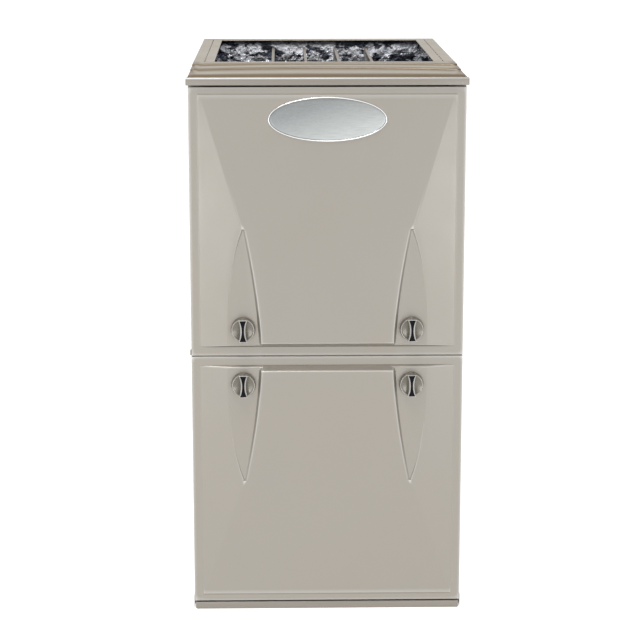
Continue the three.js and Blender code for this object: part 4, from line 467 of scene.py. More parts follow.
def satin_nickel(name, color):
    """Satin nickel plate of the knobs, in one of its tones: the lighter grip copy is a painted highlight, the
    darker dish copy painted shade.
    """
    s = Surface(name, color, 0.3, 0.85)
    grain = s.noise(900, 4, 0.6)
    s.tint(s.ramp(grain, 0.4, 0.75, 0, 0.3), tuple(1.3 * c for c in color))
    s.rough(s.noise(220, 3), 0.06)
    s.bump(grain, 0.00002, 0.5)
    s.edge_wear_and_sheen(tuple(2 * c for c in color), 0.5)
    return s.material


def moulded(name, color, roughness, grain_depth=0.00004, metallic=0.0, **sockets):
    """Moulded, cast or enamelled surface with an even fine grain."""
    s = Surface(name, color, roughness, metallic, **sockets)
    grain = s.noise(800, 4, 0.6)
    light = tuple(min(1, 1.35 * c + 0.01) for c in color)
    s.tint(s.ramp(s.noise(35, 4), 0.4, 0.75, 0, 0.35), light)
    s.rough(grain, 0.06)
    s.bump(grain, grain_depth, 0.6)
    s.edge_wear_and_sheen(light, 0.6)
    return s.material


def steel():
    """Zinc-plated steel with a slight yellow tone in patches."""
    s = Surface("plain_steel", (0.36, 0.37, 0.38), 0.32, 0.9)
    patches = s.noise(70, 4)
    s.tint(s.ramp(patches, 0.4, 0.75, 0, 0.5), (0.42, 0.39, 0.31))
    s.rough(patches, 0.08)
    s.bump(s.noise(600, 3), 0.00002, 0.4)
    s.edge_wear_and_sheen((0.6, 0.6, 0.6), 0.6)
    return s.material


def circuit_board():
    """Green board with traces, and darker parts standing on it."""
    s = Surface("circuit_board", (0.012, 0.11, 0.055), 0.35)
    traces = s.cells(130, "DISTANCE_TO_EDGE", s.stretched((1, 0.01, 1)))
    s.tint(s.ramp(traces, 0.02, 0.05, 0.6, 0), (0.05, 0.22, 0.10))
    board_face = box_mm("control_board")[1].y - 12.5
    s.tint(s.along("Y", board_face, board_face + 0.3, 1, 0), (0.03, 0.035, 0.045))
    s.rough(s.noise(300, 3), 0.08)
    s.bump(traces, 0.0002, 0.3)
    return s.material


def insulation_face():
    """Foil face of the upper door's insulation, with a fine reinforcing grid."""
    s = Surface("foil_facing", (0.62, 0.64, 0.66), 0.28, 0.9)
    grid = s.cells(55, "DISTANCE_TO_EDGE", s.stretched((1, 0.01, 1)))
    s.tint(s.ramp(grid, 0.0, 0.03, 0.5, 0), (0.42, 0.43, 0.45))
    s.rough(s.noise(50, 4), 0.1)
    s.bump(s.noise(45, 4), 0.0015, 0.5)
    return s.material


PAINT_COLOR = (0.425, 0.393, 0.345)
# darker copy of the paint for the band and the sill: painted shade
SHADED_PAINT_COLOR = (0.34, 0.308, 0.27)
# darker, browner copy of the paint for the top and the flanges' top: painted shade
TOP_SHADED_COLOR = (0.365, 0.315, 0.238)
# darker brown for the strip in the doors' seam: painted shade
SEAM_SHADE_COLOR = (0.33, 0.29, 0.24)
# brown on the top's step creases and risers: painted shade
TOP_STEP_SHADE = (0.20, 0.145, 0.085)
# near black in the doors' creases: painted shade
DOOR_CREASE_SHADE = (0.10, 0.085, 0.065)
# light colour on convex edges: painted highlight on the doors, wear and painted highlight on the casing
EDGE_WEAR_AND_HIGHLIGHT = (0.74, 0.73, 0.70)
PAINT = casing_paint()
DOOR_SHADE_AND_HIGHLIGHT_PAINT = door_shade_and_highlight_paint()
BAND_SHADE_AND_HIGHLIGHT_PAINT = band_shade_and_highlight_paint()
TOP_SHADED_PAINT = top_shaded_paint()
# painted shade: the sill takes the darker copy of the paint
SILL_SHADED_PAINT = paint("sill_shaded_paint", SHADED_PAINT_COLOR).material
# painted shade: darker brown paint for the seam strip
SEAM_SHADE_PAINT = paint("seam_shade_paint", SEAM_SHADE_COLOR).material
GALVANISED = galvanised()
FOIL = foil()
NICKEL = satin_nickel("satin_nickel", (0.33, 0.31, 0.28))
# painted highlight: lighter copy of the nickel for the grips
GRIP_HIGHLIGHT_NICKEL = satin_nickel("grip_highlight_nickel", (0.36, 0.345, 0.32))
# painted shade: darker copy of the nickel for the dished faces
DISH_SHADE_NICKEL = satin_nickel("dish_shade_nickel", (0.18, 0.165, 0.14))
STEEL = steel()
BLACK_PLASTIC = moulded("black_plastic", (0.010, 0.010, 0.011), 0.55, 0.00008)
INSERT_PLASTIC = moulded("insert_plastic", (0.006, 0.006, 0.009), 0.6, specular_ior_level=0.12)
GREY_PLASTIC = moulded("grey_plastic", (0.19, 0.195, 0.2), 0.5, 0.00006)
BLACK_ENAMEL = moulded("black_enamel", (0.018, 0.018, 0.020), 0.35, 0.00003, 0.3)
CAST = moulded("cast_aluminium", (0.2, 0.205, 0.21), 0.5, 0.00012, 0.7)
CERAMIC = moulded("ceramic", (0.75, 0.70, 0.60), 0.6)
RUBBER = moulded("black_rubber", (0.018, 0.018, 0.018), 0.65)

NODE_MATERIALS = {
    "cabinet_paint": PAINT,
    "galvanised_sheet": GALVANISED,
    "foil_insulation": insulation_face(),
    "aluminised_steel": aluminised(box_mm("heat_exchanger_cell_1")[1].z),
    "coil_aluminium": fins(),
    "badge_aluminium": brushed_aluminium(),
    "bright_trim": bright_metal(),
    "black_plastic": BLACK_PLASTIC,
    "grey_plastic": GREY_PLASTIC,
    "black_enamel": BLACK_ENAMEL,
    "motor_black": BLACK_ENAMEL,
    "plain_steel": STEEL,
    "cast_aluminium": CAST,
    "ceramic": CERAMIC,
    "black_rubber": RUBBER,
    "circuit_board": circuit_board(),
    "satin_nickel": NICKEL,
}

# ---------------------------------------------------------------- mesh helpers


def mesh_piece(name, points, faces, material, smooth=True):
    """A mesh from points in millimetres."""
    mesh = bpy.data.meshes.new(name)
    mesh.from_pydata([Vector(p) * MM for p in points], [], faces)
    mesh.validate()
    mesh.shade_smooth() if smooth else mesh.shade_flat()
    piece = bpy.data.objects.new(name, mesh)
    bpy.context.scene.collection.objects.link(piece)
    mesh.materials.append(material)
    return piece


def tidy(piece, distance=0.01):
    """Joins doubled points and turns all faces outwards."""
    bm = bmesh.new()
    bm.from_mesh(piece.data)
    bmesh.ops.remove_doubles(bm, verts=bm.verts, dist=distance * MM)
    bmesh.ops.recalc_face_normals(bm, faces=bm.faces)
    bm.to_mesh(piece.data)
    bm.free()
    return piece


def modifier(piece, kind, **settings):
    made = piece.modifiers.new(kind.lower(), kind)
    for name, value in settings.items():
        setattr(made, name, value)
    return made


def softened(piece, width, segments=2, angle=30):
    """Rounds the piece's sharp edges by a width in millimetres."""
    modifier(
        piece,
        "BEVEL",
        width=width * MM,
        segments=segments,
        limit_method="ANGLE",
        angle_limit=math.radians(angle),
        miter_outer="MITER_ARC",
        use_clamp_overlap=True,
    )
    return piece


def shade_by_angle(piece, angle=35):
    """Smooth shading, but sharp where the faces meet at more than an angle."""
    piece.data.shade_smooth()
    piece.data.set_sharp_from_angle(angle=math.radians(angle))
    return piece


def place(piece, body, slot, *replaced):
    """Lets a piece ride on a body, in place of CAD nodes. The slot argument is not used."""
    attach(piece, body)
    if replaced:
        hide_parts(*replaced)
    return piece


def rounded(points, radii, steps=5):
    """A polyline with each inner corner replaced by a short curve."""
    result = [points[0]]
    for i in range(1, len(points) - 1):
        before, corner, after = (Vector(points[i + k]) for k in (-1, 0, 1))
        back, ahead = before - corner, after - corner
        reach = min(radii[i], 0.48 * back.length, 0.48 * ahead.length)
        start = corner + back.normalized() * reach
        end = corner + ahead.normalized() * reach
        for k in range(steps + 1):
            t = k / steps
            point = start * (1 - t) ** 2 + corner * (2 * t * (1 - t)) + end * t**2
            result.append(tuple(point))
    result.append(points[-1])
    return result


def prism(name, outline, axis, low, high, material):
    """An outline extruded along an axis (0, 1 or 2), with closed ends."""
    count = len(outline)
    points = []
    for level in (low, high):
        for a, b in outline:
            point = [a, b]
            point.insert(axis, level)
            points.append(point)
    faces = [[i, (i + 1) % count, count + (i + 1) % count, count + i] for i in range(count)]
    faces.append(list(range(count - 1, -1, -1)))
    faces.append(list(range(count, 2 * count)))
    return tidy(mesh_piece(name, points, faces, material))


def lathe_faces(rings, around):
    """Faces between rings of points that go all the way round."""
    faces = []
    for i in range(rings - 1):
        for j in range(around):
            k = (j + 1) % around
            faces.append([i * around + j, i * around + k, (i + 1) * around + k, (i + 1) * around + j])
    return faces


# ---------------------------------------------------------------- doors


def crown_height(u, far):
    """Height of the pressed crown above the border, at a distance from the latch edge."""
    start = RAMP_START + CROWN_HIGH / RAMP_SLOPE
    t = min(max((u - start) / (far - start), 0), 1)
    return CROWN_HIGH + (CROWN_LOW - CROWN_HIGH) * t


def soft_min(a, b, blend):
    """The smaller of two values, with the change-over rounded."""
    h = min(max(0.5 + 0.5 * (b - a) / blend, 0), 1)
    return b * (1 - h) + a * h - blend * h * (1 - h)


def door_section(u, far):
    """Half section of the pressing: [x, height] corners, and a rounding for each."""
    tip_height = crown_height(POCKET_LENGTH, far)
    slope = (tip_height - CROWN_LOW) / (PANEL_HALF - POCKET_TIP)
    t = min(u / POCKET_LENGTH, 1)
    wall = POCKET_WALL + (POCKET_TIP - POCKET_WALL) * t**WALL_CURVE
    outer = POCKET_OUTER - (POCKET_OUTER - POCKET_TIP) * t**OUTER_CURVE
    if u > POCKET_LENGTH:
        rest = min((u - POCKET_LENGTH) / (far - POCKET_LENGTH), 1)
        wall = POCKET_TIP + (PANEL_HALF - 2 * WALL_DRAFT - POCKET_TIP) * rest
    into_corner = CROWN_CORNER - (u - RAMP_START - 3)
    if into_corner > 0:
        wall -= CROWN_CORNER - math.sqrt(max(0, CROWN_CORNER**2 - min(into_corner, CROWN_CORNER) ** 2))
    outer = max(outer, wall + WALL_DRAFT / 2)
    crown = crown_height(u, far)
    face = min(CROWN_LOW + slope * (PANEL_HALF - outer - POCKET_LIP), crown)
    to_tip = min(max((POCKET_LENGTH - u) / TIP_ROUND, 0), 1)
    floor = face - POCKET_RECESS * t**3 * math.sqrt(1 - (1 - to_tip) ** 2)
    foot = crown if u > POCKET_LENGTH else floor
    corners = [
        (0, crown),
        (wall - WALL_DRAFT, crown),
        (wall, foot),
        (outer, floor),
        (outer + POCKET_LIP, face),
        (PANEL_HALF, CROWN_LOW),
        (PANEL_HALF + PANEL_STEP, 0),
        (DOOR_HALF - EDGE_BEND, 0),
    ]
    return rounded(corners, SECTION_BENDS)


def lifted(height, u, far):
    """Height of the pressing where it ramps up from the latch edge and ends at the far edge."""
    ramp = RAMP_SLOPE * (u - RAMP_START)
    if u >= far + 1:
        return 0
    height = max(0, soft_min(height, ramp, RAMP_BLEND)) if ramp > -1 else 0
    return height * min(1, far + 1 - u)


def door_rows(height, far):
    """Distances from the latch edge: close together where the pressing bends."""
    ramp_end = RAMP_START + CROWN_HIGH / RAMP_SLOPE
    rows = [EDGE_BEND, 6, 10, 12, 13.2, 14, 14.5]
    rows += [RAMP_START + k * 0.5 for k in range(1, 22)]
    rows += [ramp_end + 4 + k * (POCKET_LENGTH - ramp_end - 4) / 44 for k in range(45)]
    rows += [POCKET_LENGTH - d for d in (6, 4, 3.4, 3, 2.4, 1.8, 1.2, 0.7, 0.3, 0.1)]
    rows += [POCKET_LENGTH + 0.5 + k * (far - 0.6 - POCKET_LENGTH) / 30 for k in range(31)]
    rows += [far + 0.5, far + 1, far + 4, height - EDGE_BEND]
    return sorted(rows)


def door_columns(u, far):
    """The half section, divided further where its parts are wide."""
    half = door_section(u, far)
    columns = []
    for k, ((x0, h0), (x1, h1)) in enumerate(zip(half, half[1:])):
        parts = SECTION_PARTS.get(k, 1)
        columns += [(x0 + (x1 - x0) * i / parts, h0 + (h1 - h0) * i / parts) for i in range(parts)]
    return columns + [half[-1]]


def door_skin(name, height, turned, body):
    """Pressed door skin with bent edges and returned flanges, as one sheet of even thickness."""
    far = height - BORDER
    bends = [math.radians(a) for a in (22, 45, 68, 90)]
    edge = [(math.sin(a), math.cos(a), 0) for a in bends]
    edge += [(1, 0, d) for d in (8, 16, DOOR_DEPTH - EDGE_BEND)]
    rows = [(EDGE_BEND, -s, c, d) for s, c, d in reversed(edge)]
    rows += [(u, 0, 1, 0) for u in door_rows(height, far)]
    rows += [(height - EDGE_BEND, s, c, d) for s, c, d in edge]
    points, deep = [], []
    for u, side, row_cos, row_deep in rows:
        half = [(x, h, 1, 0) for x, h in door_columns(u, far)]
        half += [(DOOR_HALF - EDGE_BEND * (1 - s), 0, c, d) for s, c, d in edge]
        line = [(-x, h, c, d) for x, h, c, d in reversed(half[1:])] + half
        for x, h, column_cos, column_deep in line:
            depth = EDGE_BEND * (1 - row_cos * column_cos) + max(row_deep, column_deep)
            points.append((x, FRONT + depth - lifted(h, u, far), u + side * EDGE_BEND))
            deep.append((row_deep, column_deep))
    count = len(line)
    faces = []
    for i in range(len(rows) - 1):
        for j in range(count - 1):
            corner = (i * count + j, i * count + j + 1, (i + 1) * count + j + 1, (i + 1) * count + j)
            if not any(deep[k][0] and deep[k][1] for k in corner):
                faces.append(corner)
    skin = mesh_piece(name, points, faces, DOOR_SHADE_AND_HIGHLIGHT_PAINT)
    base = LOWER_HIGH.z if turned else UPPER_LOW.z
    turn = Matrix.Rotation(math.pi, 4, "Y") if turned else Matrix.Identity(4)
    skin.data.transform(Matrix.Translation((0, 0, base * MM)) @ turn)
    tidy(skin, 0.02)
    modifier(skin, "SOLIDIFY", thickness=SHEET * MM, offset=-1, use_even_offset=False)
    place(skin, body, "cabinet_paint", body)
    return skin


UPPER_HEIGHT = UPPER_HIGH.z - UPPER_LOW.z
LOWER_HEIGHT = LOWER_HIGH.z - LOWER_LOW.z
door_skin("upper_door_pressing", UPPER_HEIGHT, False, "upper_door")
door_skin("lower_door_pressing", LOWER_HEIGHT, True, "lower_door")

# ---------------------------------------------------------------- top plate and band


def step_depth(step, x):
    depth, bow = step
    return depth + bow * (1 - (x / HALF_WIDTH) ** 2)


def top_cover():
    """Front half of the top: two bowed steps that rise to the outlet, and the lip turned down there."""
    across = 64
    rise = [(0, 0), (0.25, 0.12), (0.5, 0.5), (0.75, 0.88), (1, 1)]
    points = []
    for i in range(across + 1):
        x = HALF_WIDTH * (2 * i / across - 1)
        first = step_depth(STEP_ONE, x)
        second = step_depth(STEP_TWO, x)
        line = [(BAND_WRAP, PLATE_TOP), (BAND_WRAP + (first - BAND_WRAP) / 2, PLATE_TOP)]
        line += [(first + STEP_WIDTH * (t - 0.5), PLATE_TOP + STEP_RISE * h) for t, h in rise]
        line += [((first + second) / 2, PLATE_TOP + STEP_RISE)]
        line += [(second + STEP_WIDTH * (t - 0.5), PLATE_TOP + STEP_RISE * (1 + h)) for t, h in rise]
        line += [((second + OUTLET_FRONT) / 2, CASE_HEIGHT), (OUTLET_FRONT - 1.2, CASE_HEIGHT)]
        line += [(OUTLET_FRONT - 0.35, CASE_HEIGHT - 0.35), (OUTLET_FRONT, CASE_HEIGHT - 1.2)]
        line += [(OUTLET_FRONT, CASE_HEIGHT - OUTLET_LIP)]
        points += [(x, FRONT + depth, z) for depth, z in line]
    count = len(line)
    faces = [
        (i * count + j, (i + 1) * count + j, (i + 1) * count + j + 1, i * count + j + 1)
        for i in range(across)
        for j in range(count - 1)
    ]
    cover = mesh_piece("top_cover", points, faces, TOP_SHADED_PAINT)
    modifier(cover, "SOLIDIFY", thickness=SHEET * MM, offset=-1)
    place(cover, "cabinet", "cabinet_paint", "top_plate")


def front_band():
    """Folded band over the upper door, with rounded ends."""
    front = FRONT - BAND_PROUD
    under = PLATE_TOP - SHEET
    profile = [
        (front, BAND_BOTTOM),
        (front + BAND_HEM, BAND_BOTTOM),
        (front + BAND_HEM, under),
        (FRONT + BAND_WRAP, under),
        (FRONT + BAND_WRAP, PLATE_TOP),
        (front, PLATE_TOP),
    ]
    band = prism("front_band", profile, 0, TOP_LOW.x, TOP_HIGH.x, BAND_SHADE_AND_HIGHLIGHT_PAINT)
    softened(band, 2.0, 5, 40)
    place(band, "cabinet", "cabinet_paint", "top_plate")


top_cover()
front_band()

# ---------------------------------------------------------------- sill


def sill():
    """Sill with rounded lower corners and an ear beside each corner of the lower door."""
    inner = DOOR_HALF + EAR_GAP
    outer = SILL_HIGH.x
    body_half = HALF_WIDTH - SILL_INSET
    half = [
        (body_half - SILL_CORNER, 0),
        (body_half - SILL_CORNER_BEND, SILL_CORNER_BEND),
        (body_half, SILL_CORNER),
        (body_half, LOWER_LOW.z - SILL_GAP),
    ]
    outline = half + [(-x, z) for x, z in reversed(half)]
    bar = prism("sill", outline, 1, SILL_LOW.y, FRONT + DOOR_DEPTH, SILL_SHADED_PAINT)
    softened(bar, 0.9, 3, 25)
    place(bar, "cabinet", "cabinet_paint", "base_strip")
    for sign, side in ((-1, "left"), (1, "right")):
        near, far = sorted((sign * inner, sign * outer))
        tab = [(near, EAR_FOOT), (far, EAR_FOOT), (far, SILL_HIGH.z), (near, SILL_HIGH.z)]
        ear = prism(f"sill_ear_{side}", tab, 1, FRONT + EAR_FRONT, FRONT + EAR_REAR, PAINT)
        softened(ear, 0.5, 2)
        place(ear, "cabinet", "cabinet_paint")


sill()

# ---------------------------------------------------------------- knobs


def hourglass(length, end, waist, corner, steps=16):
    """Outline of a waisted bar with rounded corners, [x, z] from the lower right, round to the lower left."""
    right = []
    for i in range(steps + 1):
        t = 2 * i / steps - 1
        right.append(((waist + (end - waist) * abs(t) ** 2.2) / 2, t * length / 2))
    outline = [(0, -length / 2)] + right + [(0, length / 2)]
    half = rounded(outline, [corner if abs(abs(z) - length / 2) < 0.01 else 0.3 for x, z in outline], 4)
    return half + [(-x, z) for x, z in reversed(half[1:-1])]


def knob_disc(name, seat, depth):
    """Turned disc with a raised rim and a dished face, its axis along Y."""
    radius = KNOB_RADIUS
    profile = [(0, seat), (radius - 0.6, seat), (radius, seat - 0.6)]
    profile += [(radius, seat - 2.2), (radius - 0.5, seat - 2.9), (radius - 0.9, depth + 1.2)]
    profile += [(radius - 1.2, depth + 0.4), (radius - 1.8, depth), (radius - 2.3, depth)]
    dish = radius - KNOB_RIM
    profile += [(dish * k / 8, depth + 0.3 + DISH_DEPTH * (1 - (k / 8) ** 2)) for k in range(8, -1, -1)]
    around = 64
    points = []
    for reach, y in profile:
        for j in range(around):
            angle = 2 * math.pi * j / around
            points.append((reach * math.cos(angle), y, reach * math.sin(angle)))
    disc = mesh_piece(name, points, lathe_faces(len(profile), around), NICKEL)
    disc.data.materials.append(DISH_SHADE_NICKEL)
    tidy(disc)
    # painted shade: the dished face takes the darker copy of the nickel
    for face in disc.data.polygons:
        if math.hypot(face.center.x, face.center.z) < dish * MM and face.center.y < (depth + 5) * MM:
            face.material_index = 1
    return shade_by_angle(disc, 50)


def knob(row, side, x, z):
    """Knob with a waisted grip and a black insert, on its latch's axis."""
    body = f"knob_{row}_{side}"
    low, high = box_mm(body)
    face, seat = low.y, high.y
    disc = knob_disc(f"{body}_disc", seat, face + 8)
    outline = hourglass(GRIP_LENGTH, GRIP_END, GRIP_WAIST, GRIP_CORNER)
    grip = prism(f"{body}_grip", outline, 1, face + 0.3, seat - 2, GRIP_HIGHLIGHT_NICKEL)
    softened(grip, 0.8, 4, 40)
    outline = hourglass(INSERT_LENGTH, INSERT_END, INSERT_WAIST, INSERT_CORNER)
    insert = prism(f"{body}_insert", outline, 1, face, face + 3, INSERT_PLASTIC)
    softened(insert, 0.25, 2, 40)
    for piece in (disc, grip, insert):
        piece.data.transform(Matrix.Translation((x * MM, 0, z * MM)))
    place(disc, body, "satin_nickel", body)
    place(grip, body, "satin_nickel", body)
    place(insert, body, "black_plastic", body)


for side, sign in (("left", -1), ("right", 1)):
    knob("upper", side, sign * KNOB_X, UPPER_LOW.z + KNOB_EDGE)
    knob("lower", side, sign * KNOB_X, LOWER_HIGH.z - KNOB_EDGE)

# ---------------------------------------------------------------- badge


def badge():
    """Bare oval plate, slightly domed, in a bright rounded rim."""
    around = 128
    long, short = (RIM_HIGH.x - RIM_LOW.x) / 2, (RIM_HIGH.z - RIM_LOW.z) / 2
    centre_z = (RIM_HIGH.z + RIM_LOW.z) / 2
    u = centre_z - UPPER_LOW.z
    far = UPPER_HEIGHT - BORDER
    seat = crown_height(u, far) + BADGE_SEAT
    tilt = math.atan(crown_height(u - 1, far) - crown_height(u, far))

    def rings(name, profile, material, slot, node):
        points = []
        for inset, height in profile:
            for j in range(around):
                angle = 2 * math.pi * j / around
                points.append(((long - inset) * math.cos(angle), -height, (short - inset) * math.sin(angle)))
        faces = lathe_faces(len(profile), around)
        last = (len(profile) - 1) * around
        if node == "badge_plate":
            faces.append(list(range(around)))
            faces.append(list(range(last, last + around)))
        else:
            faces += [[last + j, last + (j + 1) % around, (j + 1) % around, j] for j in range(around)]
        piece = tidy(mesh_piece(name, points, faces, material), 0.001)
        piece.data.transform(
            Matrix.Translation((0, (FRONT - seat) * MM, centre_z * MM)) @ Matrix.Rotation(-tilt, 4, "X")
        )
        place(piece, "upper_door", slot, node)
        return piece

    arc = [math.radians(a) for a in range(0, 181, 20)]
    rim = [(RIM_RADIUS * (1 - math.cos(a)), RIM_WALL + RIM_DOME * math.sin(a)) for a in arc]
    rim = [(0, 0)] + rim + [(2 * RIM_RADIUS, 0)]
    rings("badge_bright_rim", rim, NODE_MATERIALS["bright_trim"], "bright_trim", "badge_rim")
    start = PLATE_INSET + 0.6
    plate = [(PLATE_INSET, 0.0), (PLATE_INSET, PLATE_EDGE), (start, PLATE_FACE)]
    for k in range(1, 9):
        plate.append((start + k * PLATE_RING, PLATE_FACE + PLATE_DOME * math.sin(k / 8 * math.pi / 2)))
    rings("badge_face", plate, NODE_MATERIALS["badge_aluminium"], "badge_aluminium", "badge_plate")


badge()

# ---------------------------------------------------------------- foil lining of the outlet


def crumple(point, amount):
    """Depth of creased foil at a point: broad folds, with sharper ones on them."""
    p = Vector(point) * 0.03
    broad = noise.turbulence(
        p, 3, True, noise_basis="PERLIN_ORIGINAL", amplitude_scale=0.55, frequency_scale=2.1
    )
    fine = noise.ridged_multi_fractal(p * 2.3, 0.8, 2.1, 3, 1.0, 2.0)
    return amount * (0.75 * broad + 0.16 * fine)


def foil_sheet(name, origin, along, normal, length, pitch):
    """One upright creased sheet, its folds standing out along its normal."""
    up = Vector((0, 0, 1))
    height = LINER_HIGH.z - LINER_LOW.z - 2
    columns, rows = round(length / pitch), round(height / pitch)
    points = []
    for i in range(columns + 1):
        for j in range(rows + 1):
            base = Vector(origin) + Vector(along) * (length * i / columns) + up * (height * j / rows)
            edge = min(1, 4 * i / columns, 4 * (columns - i) / columns, 6 * (rows - j) / rows)
            points.append(base + Vector(normal) * crumple(base, FOIL_FOLD) * (0.25 + 0.75 * edge))
    count = rows + 1
    faces = [
        (i * count + j, (i + 1) * count + j, (i + 1) * count + j + 1, i * count + j + 1)
        for i in range(columns)
        for j in range(rows)
    ]
    sheet = mesh_piece(name, points, faces, FOIL, smooth=False)
    modifier(sheet, "SOLIDIFY", thickness=0.3 * MM, offset=-1)
    place(sheet, "cabinet", "foil_insulation", "foil_liner")


def foil_lining():
    """Creased foil on both sides and the rear of the outlet, over the slabs of insulation."""
    low, high = LINER_LOW, LINER_HIGH
    depth = high.y - low.y
    wide = high.x - low.x
    left, right, rear = low.x + FOIL_SET_BACK, high.x - FOIL_SET_BACK, high.y - FOIL_SET_BACK
    foil_sheet("foil_left", (left, low.y, low.z), (0, 1, 0), (1, 0, 0), depth, FOIL_PITCH_SIDE)
    foil_sheet("foil_right", (right, low.y, low.z), (0, 1, 0), (-1, 0, 0), depth, FOIL_PITCH_SIDE)
    foil_sheet("foil_rear", (low.x + 3, rear, low.z), (1, 0, 0), (0, -1, 0), wide - 6, FOIL_PITCH_REAR)


foil_lining()

# ---------------------------------------------------------------- screws, knock-outs and seam


def stood(piece, centre, normal):
    """Turns a piece made along Z to a normal, and moves it to its place."""
    turn = Vector(normal).to_track_quat("Z", "X").to_matrix().to_4x4()
    piece.data.transform(Matrix.Translation(Vector(centre) * MM) @ turn)
    return piece


def screw(name, centre, normal):
    """Low hexagon-head screw with its washer flange, standing out along a normal."""
    around = 24
    points = []
    rings = [(4.9, -0.2), (4.9, 0.4), (4.5, 0.6)]
    for radius, height in rings:
        for j in range(around):
            angle = 2 * math.pi * j / around
            points.append((radius * math.cos(angle), radius * math.sin(angle), height))
    faces = lathe_faces(len(rings), around)
    faces.append(list(range(around - 1, -1, -1)))
    faces.append(list(range(2 * around, 3 * around)))
    first = len(points)
    head = [(4.0, 0.5), (4.0, 1.7), (3.4, 2.1)]
    for radius, height in head:
        for j in range(6):
            angle = math.pi * j / 3
            points.append((radius * math.cos(angle), radius * math.sin(angle), height))
    faces += [[first + k for k in face] for face in lathe_faces(len(head), 6)]
    faces.append([first + 5 - j for j in range(6)])
    faces.append([first + 12 + j for j in range(6)])
    return stood(mesh_piece(name, points, faces, STEEL, smooth=False), centre, normal)


def knock_out(name, centre, normal, radius):
    """Pressed ring round a round knock-out."""
    around = 48
    ridge = ((1.2, -0.2), (0.9, 0.35), (0, 0.5), (-0.9, 0.35), (-1.2, -0.2))
    rings = [(radius + out, height) for out, height in ridge]
    points = []
    for reach, height in rings:
        for j in range(around):
            angle = 2 * math.pi * j / around
            points.append((reach * math.cos(angle), reach * math.sin(angle), height))
    faces = lathe_faces(len(rings), around)
    last = (len(rings) - 1) * around
    faces += [[last + j, last + (j + 1) % around, (j + 1) % around, j] for j in range(around)]
    return stood(tidy(mesh_piece(name, points, faces, PAINT)), centre, normal)


def joined(name, pieces):
    """One object out of several."""
    bm = bmesh.new()
    for piece in pieces:
        bm.from_mesh(piece.data)
    mesh = bpy.data.meshes.new(name)
    bm.to_mesh(mesh)
    bm.free()
    mesh.materials.append(pieces[0].data.materials[0])
    result = bpy.data.objects.new(name, mesh)
    bpy.context.scene.collection.objects.link(result)
    for piece in pieces:
        bpy.data.objects.remove(piece)
    return result


def casing_screws():
    """Screws up the rear edge of each side, and along its foot."""
    rise = (CASE_HEIGHT - 2 * SCREW_INSET) / 6
    run = (REAR - FRONT - 4 * SCREW_INSET) / 3
    for sign, side in ((-1, "left"), (1, "right")):
        spots = [(REAR - SCREW_INSET, SCREW_INSET + k * rise) for k in range(7)]
        spots += [(REAR - SCREW_INSET - k * run, SCREW_INSET) for k in (1, 2)]
        at = [(sign * HALF_WIDTH, y, z) for y, z in spots]
        screws = [screw(f"screw_{side}_{k}", centre, (sign, 0, 0)) for k, centre in enumerate(at)]
        place(joined(f"casing_screws_{side}", screws), "cabinet", "plain_steel")


def knock_outs():
    """Round knock-outs in each side, for the gas pipe, the wires and the drain."""
    for sign, side in ((-1, "left"), (1, "right")):
        at = [(sign * HALF_WIDTH, FRONT + depth, z) for depth, z, _ in KNOCK_OUTS]
        rings = [
            knock_out(f"knock_out_{side}_{k}", centre, (sign, 0, 0), radius)
            for k, (centre, (_, _, radius)) in enumerate(zip(at, KNOCK_OUTS))
        ]
        place(joined(f"knock_outs_{side}", rings), "cabinet", "cabinet_paint")


def seam_strip():
    """Strip that closes the seam between the doors, set back from their faces, in a darker brown that is
    painted shade.
    """
    low, high = LOWER_HIGH.z + STRIP_CLEARANCE, UPPER_LOW.z - STRIP_CLEARANCE
    front, rear = FRONT + STRIP_SET_BACK, FRONT + DOOR_DEPTH
    outline = [(front, low), (rear, low), (rear, high), (front, high)]
    strip = prism("seam_strip", outline, 0, -DOOR_HALF + 1, DOOR_HALF - 1, SEAM_SHADE_PAINT)
    softened(strip, 0.3, 2)
    place(strip, "cabinet", "cabinet_paint")


def seam_clip():
    """Small clip that shows beside the doors, at the left end of their seam."""
    front, rear = FRONT + CLIP_FRONT, FRONT + CLIP_REAR
    low, high = UPPER_LOW.z, UPPER_LOW.z + CLIP_HEIGHT
    outline = [(front, low), (rear, low), (rear, high), (front, high)]
    clip = prism("seam_clip", outline, 0, -HALF_WIDTH - CLIP_REACH, -DOOR_HALF - 0.2, PAINT)
    softened(clip, 0.4, 2)
    place(clip, "cabinet", "cabinet_paint")


casing_screws()
knock_outs()
seam_strip()
seam_clip()

# ---------------------------------------------------------------- finishes of the CAD nodes

SLOT_OF = {row["node"]: row["material_slot"] for row in frame["record"]["subparts"]}
SOFTENED = {  # rounding of the edges, in millimetres
    "side_panel_left": 0.35,
    "side_panel_right": 0.35,
    "back_panel": 0.35,
    "center_rail": 0.35,
    "gas_valve": 1.2,
    "condensate_trap": 1.5,
    "transformer": 0.8,
    "coupling_box": 1.2,
    "inducer_housing": 1.0,
    "limit_switch": 0.5,
    "door_switch": 0.6,
    "gas_valve_knob": 0.6,
    "burner_box": 0.4,
    "control_box": 0.4,
}


def finish_nodes():
    """Gives every CAD node its material, and rounds the edges of those that keep their shape."""
    for name, node in NODES.items():
        node.data.materials.clear()
        node.data.materials.append(NODE_MATERIALS[SLOT_OF[name]])
        if name in SOFTENED:
            modifier(node, "WELD", merge_threshold=0.01 * MM)
            softened(node, SOFTENED[name], 2, 40)


finish_nodes()

# ---------------------------------------------------------------- stage and light

SOFT_LEVEL = 0.43
FLOOR_GLOW = 0.88
FLOOR_COLOR = (0.8, 0.8, 0.8)
COOL = (0.86, 0.94, 1.0)
SOFTBOX_SIZE = (0.6, 0.66)
SOFTBOX_POWER = 9


